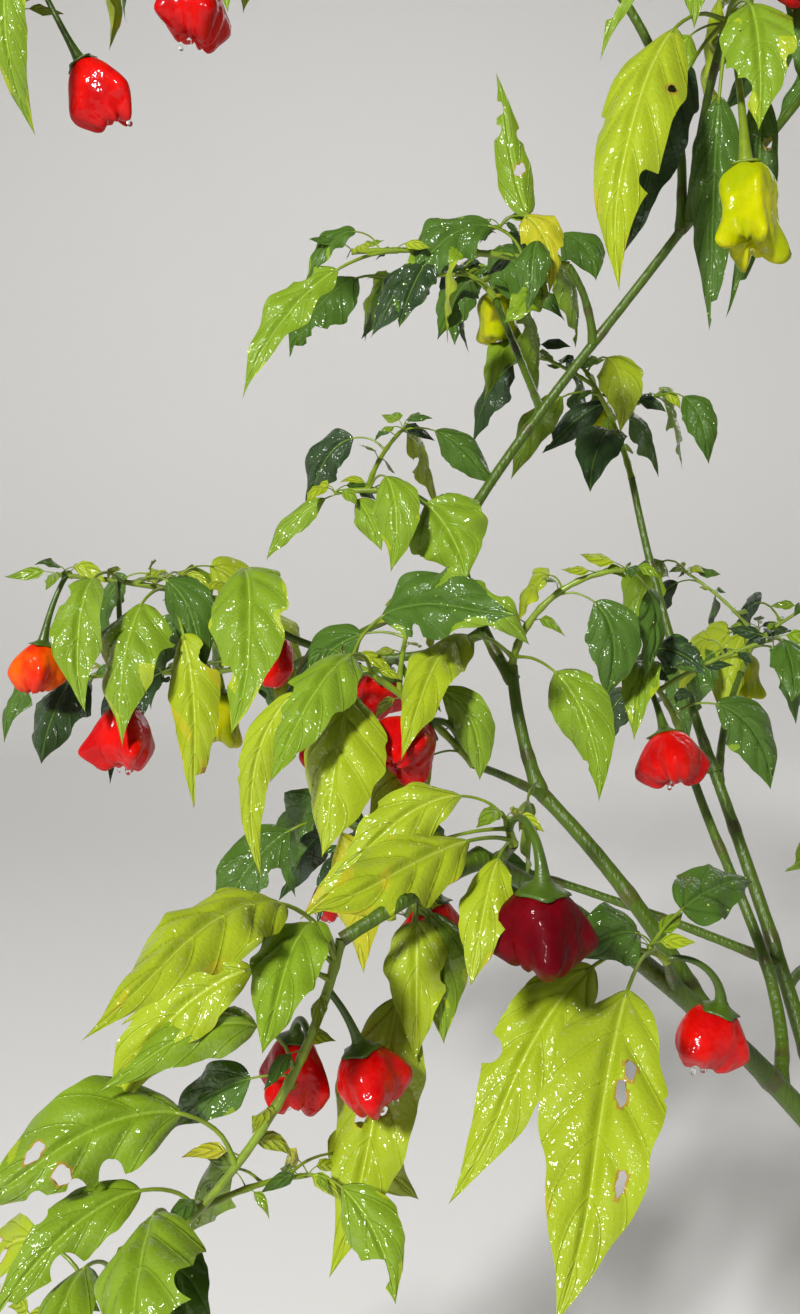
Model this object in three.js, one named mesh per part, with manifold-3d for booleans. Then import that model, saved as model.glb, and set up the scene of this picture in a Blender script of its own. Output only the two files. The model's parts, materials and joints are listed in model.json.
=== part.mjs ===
// A chilli pepper plant with squat bell-shaped fruit, rooted in the ground.
// Millimetres and degrees, +Z up. The origin is the middle of the flat cut under the main stem.
// A bearing is 0 towards +X, 90 towards +Y, 180 towards -X and -90 towards -Y.
import * as THREE from "three";
import { mergeVertices } from "three/addons/utils/BufferGeometryUtils.js";
import Module from "manifold-3d";

// The main stem: its length to the first fork, its lean, its radii, and the flare where the
// roots begin, with a ridge for each root.
const STEM = {
  length: 300, bearing: 160, rise: 88, sag: 4, foot: 10, tip: 7.5,
  flare: 9, flareHeight: 26, rootRidges: 5, ridgeDepth: 0.35,
};
const STEM_SIDES = 15;
// The stem's rings by share of its length. The first lies below the ground and is cut away.
const STEM_STATIONS = [-0.01, 0.02, 0.05, 0.09, 0.2, 0.45, 0.7, 1];

// The clear gap between neighbouring limbs, and the smallest that a leaf or fruit may leave.
const JOINT_GAP = 0.35;
const LEAF_GAP = 0.4;

// The steps that every arc is reckoned in, and how far apart a bough's rings lie.
const ARC_STEPS = 8;
const RING_SPACING = 60;
const THICK_BOUGH = 5;
const THIN_BOUGH = 3.6;

// Leaves turn their faces to the light, by at most so many degrees.
const LIGHT = new THREE.Vector3(-0.25, -0.85, 0.45).normalize();
const MOST_TURN_TO_LIGHT = 75;
const SHARE_THAT_FACES_LIGHT = 0.6;

// A leaf: its petiole's share of the whole length, and the blade's outline as share of the
// blade's length and of its half-width. A short leaf does without the outline's third station.
// A leaf bends most near its root, as its ease says.
const PETIOLE_SHARE = 0.28;
const PETIOLE_RADIUS = 0.8;
const LEAF_EASE = 2;
const LEAF_SIDES = 3;
const BLADE = [[0, 0.08], [0.34, 1], [0.72, 0.6], [1, 0]];
const SHORT_BLADE = [BLADE[0], BLADE[1], BLADE[3]];
const SHORT_LEAF = 128;
const BLADE_THICKNESS = 0.014;
const LEAST_BLADE_THICKNESS = 0.9;
// From the middle of a three-sided section, how far an edge lies across and the whole section
// measures over, for a radius of 1.
const EDGE_REACH = Math.cos(Math.PI / 6);
const SECTION_DEPTH = 1.5;

// A fruit: at each ring from the calyx down, its radius, depth and lobing, as shares.
const FRUIT_RINGS = [
  { radius: 0, depth: 0, lobe: 0 },
  { radius: 0.82, depth: 0.1, lobe: 0.03 },
  { radius: 1.04, depth: 0.55, lobe: 0.08 },
  { radius: 0.6, depth: 0.98, lobe: 0.16 },
  { radius: 0, depth: 0.8, lobe: 0 },
];
const FRUIT_SIDES = 8;
const FRUIT_LOBES = 4;
const LOBE_DROP = 0.5;
const PEDICEL = { foot: 1.1, tip: 1.9, sides: 3, steps: 2, sunk: 1.5 };

const SPRAY_STEM = { foot: 2.1, tip: 1.5, sides: 4, steps: 4 };

// What the seeded rule deals, as [least, most]. A piece that would touch something is dealt
// anew up to TRIES times, and then left out.
const TRIES = 5;
const LEAF_DIVERGENCE = 137.5;
const DEALT_LEAF = {
  lift: [15, 60], hang: [50, 95], whole: [0.78, 1.2], ratio: [0.38, 0.52], curl: [-20, 20], roll: [-20, 20],
  jitter: [-20, 20], swing: [-30, 30],
};
const DEALT_TWIG = { swing: [25, 70], length: [48, 82], rise: [5, 55], fan: [60, 100] };
const TWIG = { foot: 1.5, tip: 1.3, sides: 3, steps: 2, sag: 15, turn: 20, first: 0.3, span: 0.6 };
const TWIG_LEAVES = { count: 3, first: 0.6, step: 0.19 };
const STEM_LEAVES = { first: 0.15, span: 0.85 };
const DEALT_FRUIT = {
  share: [0.3, 0.9], bearing: [0, 360], lift: [10, 60], hang: [75, 105], length: [38, 56], width: [33, 41],
  height: [30, 40],
};

// Each bough leaves its parent at a share of the parent's length. Its path is [bearing, rise,
// length, sag, turn]: it bends evenly, by `sag` downwards and by `turn` in bearing. The last
// two values are its radii at the foot and the tip.
const BOUGHS = [
  bough("low_bough", "main_stem", 1, [-160, 50, 340, 20, 20], 7, 4.2),
  bough("low_left_bough", "low_bough", 1, [-135, -10, 80, 20, -30], 4, 3),
  bough("middle_bough", "low_bough", 0.42, [160, 60, 155, 20, -10], 5, 4),
  bough("centre_bough", "middle_bough", 1, [145, 65, 75, -10, -40], 3.8, 3.4),
  bough("crook_bough", "centre_bough", 0.88, [145, 50, 100, -15, -40], 3.4, 3.2),
  bough("upper_bough", "crook_bough", 1, [30, 55, 235, 5, -60], 3.2, 2.7),
  bough("far_left_bough", "crook_bough", 0.35, [155, -30, 165, -70, 25], 2.8, 2.3),
  bough("top_right_bough", "upper_bough", 1, [-85, 75, 100, 5, 30], 2.7, 2.3),
  bough("top_left_bough", "upper_bough", 0.97, [-170, 95, 380, 120, -10], 2.9, 2.2),
  bough("upper_left_bough", "upper_bough", 0.62, [-120, 75, 50, 30, -30], 2.5, 2.2),
  bough("inner_bough", "low_bough", 0.2, [65, 40, 225, -35, 115], 4, 2.6),
  bough("front_bough", "low_bough", 0.52, [-110, 40, 40, 0, 0], 2.8, 2.4),
  bough("fork_bough", "low_bough", 0.97, [-65, 40, 22, 0, 0], 3, 2.4),
  bough("hanging_bough", "low_left_bough", 0.15, [95, -5, 34, 30, 25], 2.6, 2.2),
  bough("leafy_bough", "middle_bough", 0.97, [-145, 30, 60, 10, 5], 2.6, 2.2),
  bough("heart_bough", "crook_bough", 0.9, [-120, 55, 50, 30, -30], 2.4, 2.1),
  bough("left_back_bough", "crook_bough", 0.7, [125, -20, 165, 5, 30], 2.6, 2.2),
  bough("upper_back_bough", "upper_bough", 0.4, [95, 30, 130, -20, 15], 2.6, 2.2),
  bough("upper_far_bough", "upper_bough", 0.97, [25, 40, 140, -15, -20], 2.5, 2.2),
  bough("right_bough", "main_stem", 0.97, [5, 55, 290, -10, 25], 6, 4.2),
  bough("right_low_bough", "right_bough", 0.35, [-30, 25, 170, 20, 15], 3.4, 2.4),
  bough("right_back_bough", "right_bough", 0.55, [80, 25, 170, 0, -25], 3.2, 2.3),
  bough("right_front_bough", "right_bough", 0.75, [-75, 35, 150, 5, 30], 3, 2.3),
  bough("right_far_bough", "right_bough", 0.98, [-5, 30, 130, 0, -15], 3, 2.3),
  bough("right_top_bough", "right_bough", 1, [50, 70, 210, 0, 30], 3.8, 2.5),
  bough("back_bough", "main_stem", 0.94, [95, 50, 270, -10, 25], 5.5, 3.8),
  bough("back_low_bough", "back_bough", 0.45, [50, 10, 150, 5, -15], 3.2, 2.3),
  bough("back_left_bough", "back_bough", 0.5, [165, 20, 200, 5, 10], 3.4, 2.4),
  bough("back_middle_bough", "back_bough", 0.97, [75, 35, 120, 5, -15], 3, 2.3),
  bough("back_top_bough", "back_bough", 1, [135, 65, 220, -5, -20], 3.6, 2.5),
  bough("near_right_bough", "main_stem", 0.9, [-65, 40, 200, -5, 15], 4.4, 2.5),
];

// Each spray is one mass of foliage. Its stem goes on from the tip of the bough `on`.
// `leaves` holds the leaves that show best: [share along the stem, bearing, lift, hang, whole
// length, blade width, curl], where lift is the slope at the root, hang the slope down at the
// tip and curl the turn in bearing between them. `fruit` holds the same first four values for a
// pedicel, then its length and the fruit's width and height.
// The seeded rule deals `dealt` more leaves along the stem, `twigs` side twigs towards
// `twigBearing`, each with leaves at its end, and `dealtFruit` more fruit. `size` is the
// whole length of a dealt leaf.
const SPRAYS = [
  {
    name: "low_left_spray", on: "low_left_bough", bearing: -150, rise: -75, length: 225, sag: -50, turn: -35,
    leaves: [
      [0.04, -135, 70, 25, 165, 38, 20], [0.05, -175, 55, 55, 115, 28, -15],
      [0.08, -160, 40, 60, 130, 32, -5], [0.04, -120, 85, 50, 105, 32, 20],
      [0.27, -160, 85, 35, 105, 26, 10], [0.28, 165, 0, 40, 70, 24, 0],
      [0.48, -155, 80, 35, 135, 44, 5], [0.59, -145, 60, 45, 115, 27, 5], [0.66, -95, 70, 40, 150, 46, 10],
      [0.8, -110, 70, 45, 120, 26, 20], [0.86, 160, 75, 80, 120, 24, -20], [0.72, -55, 75, 65, 95, 26, -15],
    ],
    fruit: [[0.1, 0, -50, 75, 32, 34, 30], [0.2, 110, 40, 85, 32, 31, 36]],
    dealt: 0, twigs: 1, twigBearing: 100, dealtFruit: 0, size: 95, seed: 11,
  },
  {
    name: "front_spray", on: "front_bough", bearing: -135, rise: 35, length: 20, sag: 0, turn: 0,
    leaves: [
      [0.5, -140, 30, 65, 180, 40, 0], [0.7, -115, 20, 60, 205, 55, 5],
      [0.6, -145, 65, 20, 66, 33, 0], [0.95, 35, 45, 5, 100, 34, 10],
    ],
    fruit: [[0.1, -10, 20, 105, 46, 39, 34]],
    dealt: 0, twigs: 0, twigBearing: 0, dealtFruit: 0, size: 100, seed: 12,
  },
  {
    name: "hanging_spray", on: "hanging_bough", bearing: 140, rise: -40, length: 34, sag: 20, turn: 5,
    leaves: [[0.6, -105, -50, 70, 178, 43, -20], [0.8, -70, 45, 95, 90, 29, -5]],
    fruit: [[0.5, 75, 45, 95, 36, 36, 32]],
    dealt: 1, twigs: 0, twigBearing: 60, dealtFruit: 0, size: 80, seed: 13,
  },
  {
    name: "fork_spray", on: "fork_bough", bearing: -120, rise: 60, length: 16, sag: 0, turn: 0,
    leaves: [
      [0.95, -155, 55, 45, 95, 28, 0], [0.6, -160, 5, 30, 105, 28, -10], [0.15, -125, 20, 15, 125, 36, -10],
      [0.5, 60, 45, 75, 110, 34, 30], [0.1, -110, 15, 60, 85, 24, 0],
    ],
    fruit: [[0.6, -75, 50, 95, 60, 44, 37]],
    dealt: 0, twigs: 0, twigBearing: 0, dealtFruit: 0, size: 90, seed: 35,
  },
  {
    name: "centre_spray", on: "leafy_bough", bearing: -170, rise: 50, length: 95, sag: 20, turn: -10,
    leaves: [
      [0.79, -100, 50, 55, 130, 36, -25], [0.8, -105, 15, 75, 125, 48, 0], [0.82, 175, 10, 95, 150, 22, 0],
      [0.93, -30, 75, 15, 112, 42, -5], [0.1, -145, 20, 55, 75, 28, -5],
    ],
    fruit: [[0.12, -130, 80, 30, 42, 34, 34], [0.5, 110, 75, 50, 62, 33, 33], [0.88, 115, 0, 85, 62, 32, 32]],
    dealt: 1, twigs: 1, twigBearing: 130, dealtFruit: 0, size: 95, seed: 14,
  },
  {
    name: "arch_spray", on: "centre_bough", bearing: -20, rise: 80, length: 95, sag: 80, turn: 20,
    leaves: [
      [0.05, -140, 42, 40, 160, 32, 35], [0.06, -45, 10, 75, 112, 34, -5],
      [0.52, -20, 25, 105, 85, 34, 0], [0.97, 25, -10, 105, 75, 28, 10],
    ],
    fruit: [],
    dealt: 1, twigs: 0, twigBearing: 40, dealtFruit: 0, size: 80, seed: 15,
  },
  {
    name: "far_left_spray", on: "far_left_bough", bearing: -175, rise: 15, length: 110, sag: 10, turn: 5,
    leaves: [
      [0.06, -60, 65, 75, 165, 48, -30], [0.39, -110, 15, 85, 125, 47, 5],
      [0.4, -70, -15, 100, 150, 32, 20], [0.65, -115, 40, 90, 120, 34, 25],
    ],
    fruit: [
      [0.96, -150, -60, 80, 45, 31, 30], [0.68, -75, -55, 85, 80, 41, 39], [0.08, 30, 35, 100, 48, 36, 36],
    ],
    dealt: 1, twigs: 1, twigBearing: 120, dealtFruit: 0, size: 90, seed: 16,
  },
  {
    name: "heart_spray", on: "heart_bough", bearing: 180, rise: 15, length: 48, sag: 25, turn: 0,
    leaves: [[0.22, -40, 0, 65, 78, 50, 0], [0.69, 175, 0, 50, 72, 17, 0], [0.88, -55, -5, 60, 52, 19, 5]],
    fruit: [],
    dealt: 1, twigs: 1, twigBearing: 130, dealtFruit: 0, size: 85, seed: 17,
  },
  {
    name: "upper_left_spray", on: "upper_left_bough", bearing: -175, rise: 10, length: 130, sag: 15, turn: 0,
    leaves: [
      [0.79, -170, -5, 60, 135, 31, 10], [0.87, -175, 75, 75, 66, 16, 5], [0.52, -150, 0, 65, 82, 32, 0],
      [0.59, -125, -20, 65, 68, 23, -5], [0.21, -165, 75, 60, 98, 40, 0], [0.13, -100, 65, 95, 72, 21, -10],
      [0.05, -140, -40, 45, 58, 21, 0], [0.06, 165, 50, -85, 120, 22, 0],
    ],
    fruit: [],
    dealt: 0, twigs: 1, twigBearing: 110, dealtFruit: 0, size: 90, seed: 18,
  },
  {
    name: "inner_spray", on: "inner_bough", bearing: -150, rise: 70, length: 62, sag: 30, turn: -30,
    leaves: [[0.96, -30, 70, 40, 56, 22, -5]],
    fruit: [[0.9, -75, -30, 60, 52, 41, 33]],
    dealt: 3, twigs: 1, twigBearing: 60, dealtFruit: 0, size: 90, seed: 19,
  },
  {
    name: "upper_right_spray", on: "top_right_bough", bearing: -60, rise: 60, length: 60, sag: -10, turn: -5,
    leaves: [
      [0.1, -130, 0, 75, 240, 42, 5], [0.08, -165, 0, 80, 85, 30, 0], [0.12, -140, -35, 75, 160, 32, -10],
      [0.15, -120, -65, 92, 178, 30, 0], [0.2, -85, 5, 80, 122, 40, -10],
      [0.2, -45, -55, 105, 175, 22, -15],
      [0.3, -175, 75, 70, 115, 16, 5], [0.12, -25, 55, 105, 115, 34, 5],
    ],
    fruit: [[0.1, -90, -50, 76, 105, 37, 49]],
    dealt: 2, twigs: 1, twigBearing: 60, dealtFruit: 1, size: 105, seed: 20,
  },
  {
    name: "top_left_spray", on: "top_left_bough", bearing: -175, rise: -5, length: 150, sag: 40, turn: -15,
    leaves: [
      [0.04, -55, 5, 120, 85, 28, 0], [0.93, -75, 55, 125, 140, 24, -30], [0.6, 180, 20, 75, 125, 40, 0],
    ],
    fruit: [[0.85, 0, -65, 60, 50, 35, 41], [0.25, -45, -40, 95, 45, 40, 41]],
    dealt: 3, twigs: 2, twigBearing: 120, dealtFruit: 0, size: 100, seed: 21,
  },
  dealtSpray("left_back_spray", "left_back_bough", 160, 0, 90, 22),
  dealtSpray("upper_back_spray", "upper_back_bough", 105, 35, 80, 23),
  dealtSpray("upper_far_spray", "upper_far_bough", 10, 40, 85, 24),
  dealtSpray("right_low_spray", "right_low_bough", -15, 5, 90, 25),
  dealtSpray("right_back_spray", "right_back_bough", 60, 20, 90, 26),
  dealtSpray("right_front_spray", "right_front_bough", -45, 30, 85, 27),
  dealtSpray("right_far_spray", "right_far_bough", -20, 25, 85, 28),
  dealtSpray("right_top_spray", "right_top_bough", 75, 65, 110, 29),
  dealtSpray("back_low_spray", "back_low_bough", 35, 5, 90, 30),
  dealtSpray("back_left_spray", "back_left_bough", 175, 15, 95, 31),
  dealtSpray("back_middle_spray", "back_middle_bough", 60, 30, 85, 32),
  dealtSpray("back_top_spray", "back_top_bough", 115, 65, 110, 33),
  dealtSpray("near_right_spray", "near_right_bough", -50, 35, 95, 34),
];

function bough(name, from, at, [bearing, rise, length, sag, turn], foot, tip) {
  return { name, from, at, bearing, rise, length, sag, turn, foot, tip };
}

// A spray that the rule deals whole.
function dealtSpray(name, on, bearing, rise, length, seed) {
  return {
    name, on, bearing, rise, length, sag: 20, turn: 10,
    leaves: [], fruit: [], dealt: 4, twigs: 2, twigBearing: bearing, dealtFruit: 1, size: 105, seed,
  };
}

const GREEN_STEM = finish("#5f7a2e", 0.5);
const WOODY_STEM = finish("#7a6a48", 0.75);
const FOLIAGE = finish("#7fb02a", 0.35);

const wasm = await Module();
wasm.setup();

function finish(color, roughness) {
  return new THREE.MeshStandardMaterial({ color, roughness, metalness: 0 });
}

// The same row of numbers from 0 to 1 for the same seed.
function chanceFrom(seed) {
  let state = (seed * 2654435761) >>> 0;
  return () => {
    state = (Math.imul(state, 1664525) + 1013904223) >>> 0;
    return state / 4294967296;
  };
}

// The directions along, across and over an arc at a share of its length. An arc with an ease
// above 1 does most of its bending near its root.
function frameOf(arc, share) {
  const bent = 1 - (1 - share) ** arc.ease;
  const slope = THREE.MathUtils.degToRad(arc.rise - arc.sag * bent);
  const bearing = THREE.MathUtils.degToRad(arc.bearing + arc.turn * bent);
  const along = new THREE.Vector3(
    Math.cos(slope) * Math.cos(bearing), Math.cos(slope) * Math.sin(bearing), Math.sin(slope));
  const across = new THREE.Vector3(-Math.sin(bearing), Math.cos(bearing), 0);
  return { along, across, over: along.clone().cross(across) };
}

// An arc from `start` as evenly spaced points, each step taken in its middle's direction.
function arcFrom(start, { bearing, rise, length, sag, turn, ease = 1 }) {
  const arc = { bearing, rise, length, sag, turn, ease, points: [start.clone()] };
  for (let k = 0; k < ARC_STEPS; k++) {
    const { along } = frameOf(arc, (k + 0.5) / ARC_STEPS);
    arc.points.push(arc.points[k].clone().addScaledVector(along, length / ARC_STEPS));
  }
  return arc;
}

function pointOn(arc, share) {
  const place = share * ARC_STEPS;
  const step = THREE.MathUtils.clamp(Math.floor(place), 0, ARC_STEPS - 1);
  return arc.points[step].clone().lerp(arc.points[step + 1], place - step);
}

// A closed solid swept along an arc. `section` gives, at a station, the half-width across,
// the half-height over the arc, how far the sides bow out at an angle, and any roll.
function sweep(arc, sides, stations, section) {
  const geometry = new THREE.CylinderGeometry(1, 1, 1, sides, stations.length - 1);
  const place = geometry.attributes.position;
  for (let i = 0; i < place.count; i++) {
    const station = Math.round((place.getY(i) + 0.5) * (stations.length - 1));
    const { share, half, height, roll = 0, bow = () => 1 } = section(station, stations[station]);
    const { across, over } = frameOf(arc, share);
    const x = place.getX(i) * bow(place.getX(i), place.getZ(i)) * half;
    const z = -place.getZ(i) * bow(place.getX(i), place.getZ(i)) * height;
    const turned = THREE.MathUtils.degToRad(roll);
    const point = pointOn(arc, share)
      .addScaledVector(across, x * Math.cos(turned) - z * Math.sin(turned))
      .addScaledVector(over, x * Math.sin(turned) + z * Math.cos(turned));
    place.setXYZ(i, point.x, point.y, point.z);
  }
  return solidOf(geometry);
}

function solidOf(geometry) {
  const bare = new THREE.BufferGeometry()
    .setAttribute("position", geometry.attributes.position)
    .setIndex(geometry.index);
  const merged = mergeVertices(bare, 1e-4);
  const corners = merged.index.array;
  const kept = [];
  for (let i = 0; i < corners.length; i += 3) {
    const [a, b, c] = corners.slice(i, i + 3);
    if (a !== b && b !== c && c !== a) kept.push(a, b, c);
  }
  return new wasm.Manifold(new wasm.Mesh({
    numProp: 3,
    vertProperties: merged.attributes.position.array,
    triVerts: new Uint32Array(kept),
  }));
}

// A round limb with end radii `foot` and `tip`, grown by `extra` all round.
function limbSolid(arc, { foot, tip, sides, steps }, extra = 0) {
  const stations = Array.from({ length: steps + 1 }, (_, k) => k / steps);
  const longer = { ...arc, points: arc.points.map((p) => p.clone()) };
  longer.points[ARC_STEPS].addScaledVector(frameOf(arc, 1).along, extra);
  return sweep(longer, sides, stations, (_, share) => {
    const radius = foot + (tip - foot) * share + extra;
    return { share, half: radius, height: radius };
  });
}

// The main stem, with ridges that run out into the root flare at the ground.
function mainStemSolid(arc) {
  const solid = sweep(arc, STEM_SIDES, STEM_STATIONS, (_, share) => {
    const flare = STEM.flare * Math.exp((-share * STEM.length) / STEM.flareHeight);
    const radius = STEM.foot + (STEM.tip - STEM.foot) * share;
    const ridge = (x, z) => 1 + STEM.ridgeDepth * Math.cos(STEM.rootRidges * Math.atan2(x, z));
    return { share, half: radius, height: radius, bow: (x, z) => 1 + (flare * ridge(x, z)) / radius };
  });
  return solid.trimByPlane([0, 0, 1], 0);
}

// The roll that turns an arc's upper side to the light.
function rollToLight(arc, share) {
  const { across, over } = frameOf(arc, share);
  const roll = THREE.MathUtils.radToDeg(Math.atan2(-LIGHT.dot(across), LIGHT.dot(over)));
  return THREE.MathUtils.clamp(roll, -MOST_TURN_TO_LIGHT, MOST_TURN_TO_LIGHT);
}

// A leaf that grows from `root`, and its blade alone. The blade's upper face is flat.
function leafPiece(root, [, bearing, lift, hang, whole, width, curl], roll) {
  const path = { bearing, rise: lift, length: whole, sag: lift + hang, turn: curl, ease: LEAF_EASE };
  const arc = arcFrom(root, path);
  const toLight = rollToLight(arc, SHARE_THAT_FACES_LIGHT);
  const thickness = Math.max(whole * (1 - PETIOLE_SHARE) * BLADE_THICKNESS, LEAST_BLADE_THICKNESS);
  const petiole = { share: 0, half: PETIOLE_RADIUS, height: PETIOLE_RADIUS, roll: toLight };
  const blade = (whole > SHORT_LEAF ? BLADE : SHORT_BLADE).map(([share, fullness]) => ({
    share: PETIOLE_SHARE + (1 - PETIOLE_SHARE) * share,
    half: (width * fullness) / 2 / EDGE_REACH,
    height: fullness ? thickness / SECTION_DEPTH : 0,
    roll: toLight + roll * share,
  }));
  const swept = (stations) => sweep(arc, LEAF_SIDES, stations, (station) => stations[station]);
  return { solid: swept([petiole, ...blade]), outer: swept(blade) };
}

// A fruit that hangs from `top` along `axis`, its lobes towards `across`.
function fruitSolid(top, axis, across, width, height) {
  const geometry = new THREE.SphereGeometry(1, FRUIT_SIDES, FRUIT_RINGS.length - 1);
  const place = geometry.attributes.position;
  const side = across.clone().addScaledVector(axis, -across.dot(axis)).normalize();
  const front = side.clone().cross(axis).negate();
  for (let i = 0; i < place.count; i++) {
    const polar = Math.acos(THREE.MathUtils.clamp(place.getY(i), -1, 1));
    const ring = FRUIT_RINGS[Math.round((polar / Math.PI) * (FRUIT_RINGS.length - 1))];
    const angle = Math.atan2(place.getX(i), place.getZ(i));
    const lobe = ring.lobe * Math.cos(FRUIT_LOBES * angle);
    const radius = (width / 2) * ring.radius * (1 + lobe);
    const point = top.clone()
      .addScaledVector(axis, height * (ring.depth + lobe * LOBE_DROP))
      .addScaledVector(side, Math.sin(angle) * radius)
      .addScaledVector(front, Math.cos(angle) * radius);
    place.setXYZ(i, point.x, point.y, point.z);
  }
  return solidOf(geometry);
}

// A pedicel that grows from `root`, with its fruit sunk a little over its end.
function fruitPiece(root, [, bearing, lift, hang, length, width, height]) {
  const arc = arcFrom(root, { bearing, rise: lift, length, sag: lift + hang, turn: 0 });
  const { along, across } = frameOf(arc, 1);
  const top = pointOn(arc, 1).addScaledVector(along, -PEDICEL.sunk);
  const fruit = fruitSolid(top, along, across, width, height);
  return { solid: limbSolid(arc, PEDICEL).add(fruit), outer: fruit };
}

const boxOf = new Map();

function near(a, b) {
  for (const s of [a, b]) if (!boxOf.has(s)) boxOf.set(s, s.boundingBox());
  const [p, q] = [boxOf.get(a), boxOf.get(b)];
  return [0, 1, 2].every((k) => p.min[k] < q.max[k] + 1 && q.min[k] < p.max[k] + 1);
}

function isClear(candidate, others) {
  return others.every((o) => !near(candidate, o) || candidate.minGap(o, LEAF_GAP * 2) >= LEAF_GAP);
}

// The solid's main piece, with sealed hollows filled and loose scraps dropped.
function onePiece(solid) {
  const pieces = solid.decompose().filter((piece) => piece.volume() > 0);
  return pieces.sort((a, b) => b.volume() - a.volume())[0];
}

// A limb cut clear of the limbs that were made before it.
function cutClear(solid, limbs) {
  let left = solid;
  for (const { grown } of limbs.values()) if (near(left, grown)) left = left.subtract(grown);
  return onePiece(left);
}

// Makes the main stem and the boughs, by name.
function growLimbs() {
  const limbs = new Map();
  const stemArc = arcFrom(new THREE.Vector3(), { ...STEM, turn: 0 });
  const stemGrown = limbSolid(stemArc, { ...STEM, sides: STEM_SIDES, steps: 2 }, JOINT_GAP);
  limbs.set("main_stem", { arc: stemArc, solid: mainStemSolid(stemArc), grown: stemGrown });
  for (const bough of BOUGHS) {
    const arc = arcFrom(pointOn(limbs.get(bough.from).arc, bough.at), bough);
    const sides = bough.foot > THICK_BOUGH ? 8 : bough.foot > THIN_BOUGH ? 6 : 5;
    const shape = { ...bough, sides, steps: Math.max(2, Math.round(bough.length / RING_SPACING)) };
    const solid = cutClear(limbSolid(arc, shape), limbs);
    limbs.set(bough.name, { arc, solid, grown: limbSolid(arc, shape, JOINT_GAP) });
  }
  return limbs;
}

// Grows one spray: the stem, the stated leaves and fruit, then what the rule deals.
function growSpray(spray, limbs, sprays) {
  const chance = chanceFrom(spray.seed);
  const between = ([least, most]) => least + chance() * (most - least);
  const others = [...[...limbs.values()].map((limb) => limb.solid), ...sprays];
  const stem = arcFrom(pointOn(limbs.get(spray.on).arc, 1), spray);
  const pieces = [cutClear(limbSolid(stem, SPRAY_STEM), limbs)];
  const spread = [];

  // Fuses a piece on if it keeps clear of the other masses. A dealt piece's outer part keeps
  // clear of what the spray has spread out already, too.
  const add = ({ solid, outer }, dealt) => {
    if (!isClear(solid, others) || (dealt && !isClear(outer, spread))) return false;
    pieces.push(solid);
    spread.push(outer);
    return true;
  };
  const dealLeaf = (arc, share, bearing) => {
    for (let k = 0; k < TRIES; k++) {
      const lift = between(DEALT_LEAF.lift);
      const hang = between(DEALT_LEAF.hang);
      const whole = spray.size * between(DEALT_LEAF.whole);
      const width = whole * (1 - PETIOLE_SHARE) * between(DEALT_LEAF.ratio);
      const curl = between(DEALT_LEAF.curl);
      const roll = between(DEALT_LEAF.roll);
      const swung = bearing + k * between(DEALT_LEAF.swing);
      const leaf = [share, swung, lift, hang, whole, width, curl];
      if (add(leafPiece(pointOn(arc, share), leaf, roll), true)) return;
    }
  };
  const dealTwig = (root, side) => {
    for (let k = 0; k < TRIES; k++) {
      const bearing = spray.twigBearing + side * between(DEALT_TWIG.swing);
      const length = between(DEALT_TWIG.length);
      const rise = between(DEALT_TWIG.rise);
      const twig = arcFrom(root, { bearing, rise, length, sag: TWIG.sag, turn: side * TWIG.turn });
      const solid = limbSolid(twig, TWIG);
      if (!add({ solid, outer: solid }, true)) continue;
      for (let n = 0; n < TWIG_LEAVES.count; n++) {
        const fanned = bearing + (n - 1) * side * between(DEALT_TWIG.fan);
        dealLeaf(twig, TWIG_LEAVES.first + TWIG_LEAVES.step * n, fanned);
      }
      return;
    }
  };
  const dealFruit = () => {
    for (let k = 0; k < TRIES; k++) {
      const fruit = Object.values(DEALT_FRUIT).map(between);
      if (add(fruitPiece(pointOn(stem, fruit[0]), fruit), true)) return;
    }
  };

  for (const leaf of spray.leaves) {
    add(leafPiece(pointOn(stem, leaf[0]), leaf, between(DEALT_LEAF.roll)), false);
  }
  for (const fruit of spray.fruit) add(fruitPiece(pointOn(stem, fruit[0]), fruit), false);
  for (let k = 0; k < spray.dealtFruit; k++) dealFruit();
  for (let k = 0; k < spray.twigs; k++) {
    dealTwig(pointOn(stem, TWIG.first + (TWIG.span * (k + 0.5)) / spray.twigs), k % 2 ? 1 : -1);
  }
  for (let k = 0; k < spray.dealt; k++) {
    const share = STEM_LEAVES.first + (STEM_LEAVES.span * (k + 0.5)) / spray.dealt;
    dealLeaf(stem, share, spray.bearing + LEAF_DIVERGENCE * (k + 1) + between(DEALT_LEAF.jitter));
  }
  return onePiece(wasm.Manifold.union(pieces));
}

function meshOf(name, solid, material) {
  const { vertProperties, triVerts } = solid.getMesh();
  const geometry = new THREE.BufferGeometry()
    .setAttribute("position", new THREE.BufferAttribute(vertProperties, 3))
    .setIndex(new THREE.BufferAttribute(triVerts, 1));
  geometry.computeVertexNormals();
  const mesh = new THREE.Mesh(geometry, material);
  mesh.name = name;
  return mesh;
}

const plant = new THREE.Group();
const limbs = growLimbs();
for (const [name, { solid }] of limbs) {
  plant.add(meshOf(name, solid, name === "main_stem" ? WOODY_STEM : GREEN_STEM));
}
const sprays = [];
for (const spray of SPRAYS) {
  sprays.push(growSpray(spray, limbs, sprays));
  plant.add(meshOf(spray.name, sprays.at(-1), FOLIAGE));
}

export default plant;
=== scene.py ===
"""A chilli pepper plant with squat bell-shaped fruit, wet after rain: bark, leaves, fruit and drops.

The limbs, sprays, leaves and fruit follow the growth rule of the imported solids, in millimetres
and degrees. A leaf, twig or fruit that the solids left out is left out here too.
"""

from __future__ import annotations

import json
import logging
import math
from dataclasses import dataclass, field
from enum import Enum

import bpy
import numpy as np
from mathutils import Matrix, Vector, noise
from mathutils.kdtree import KDTree

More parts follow.
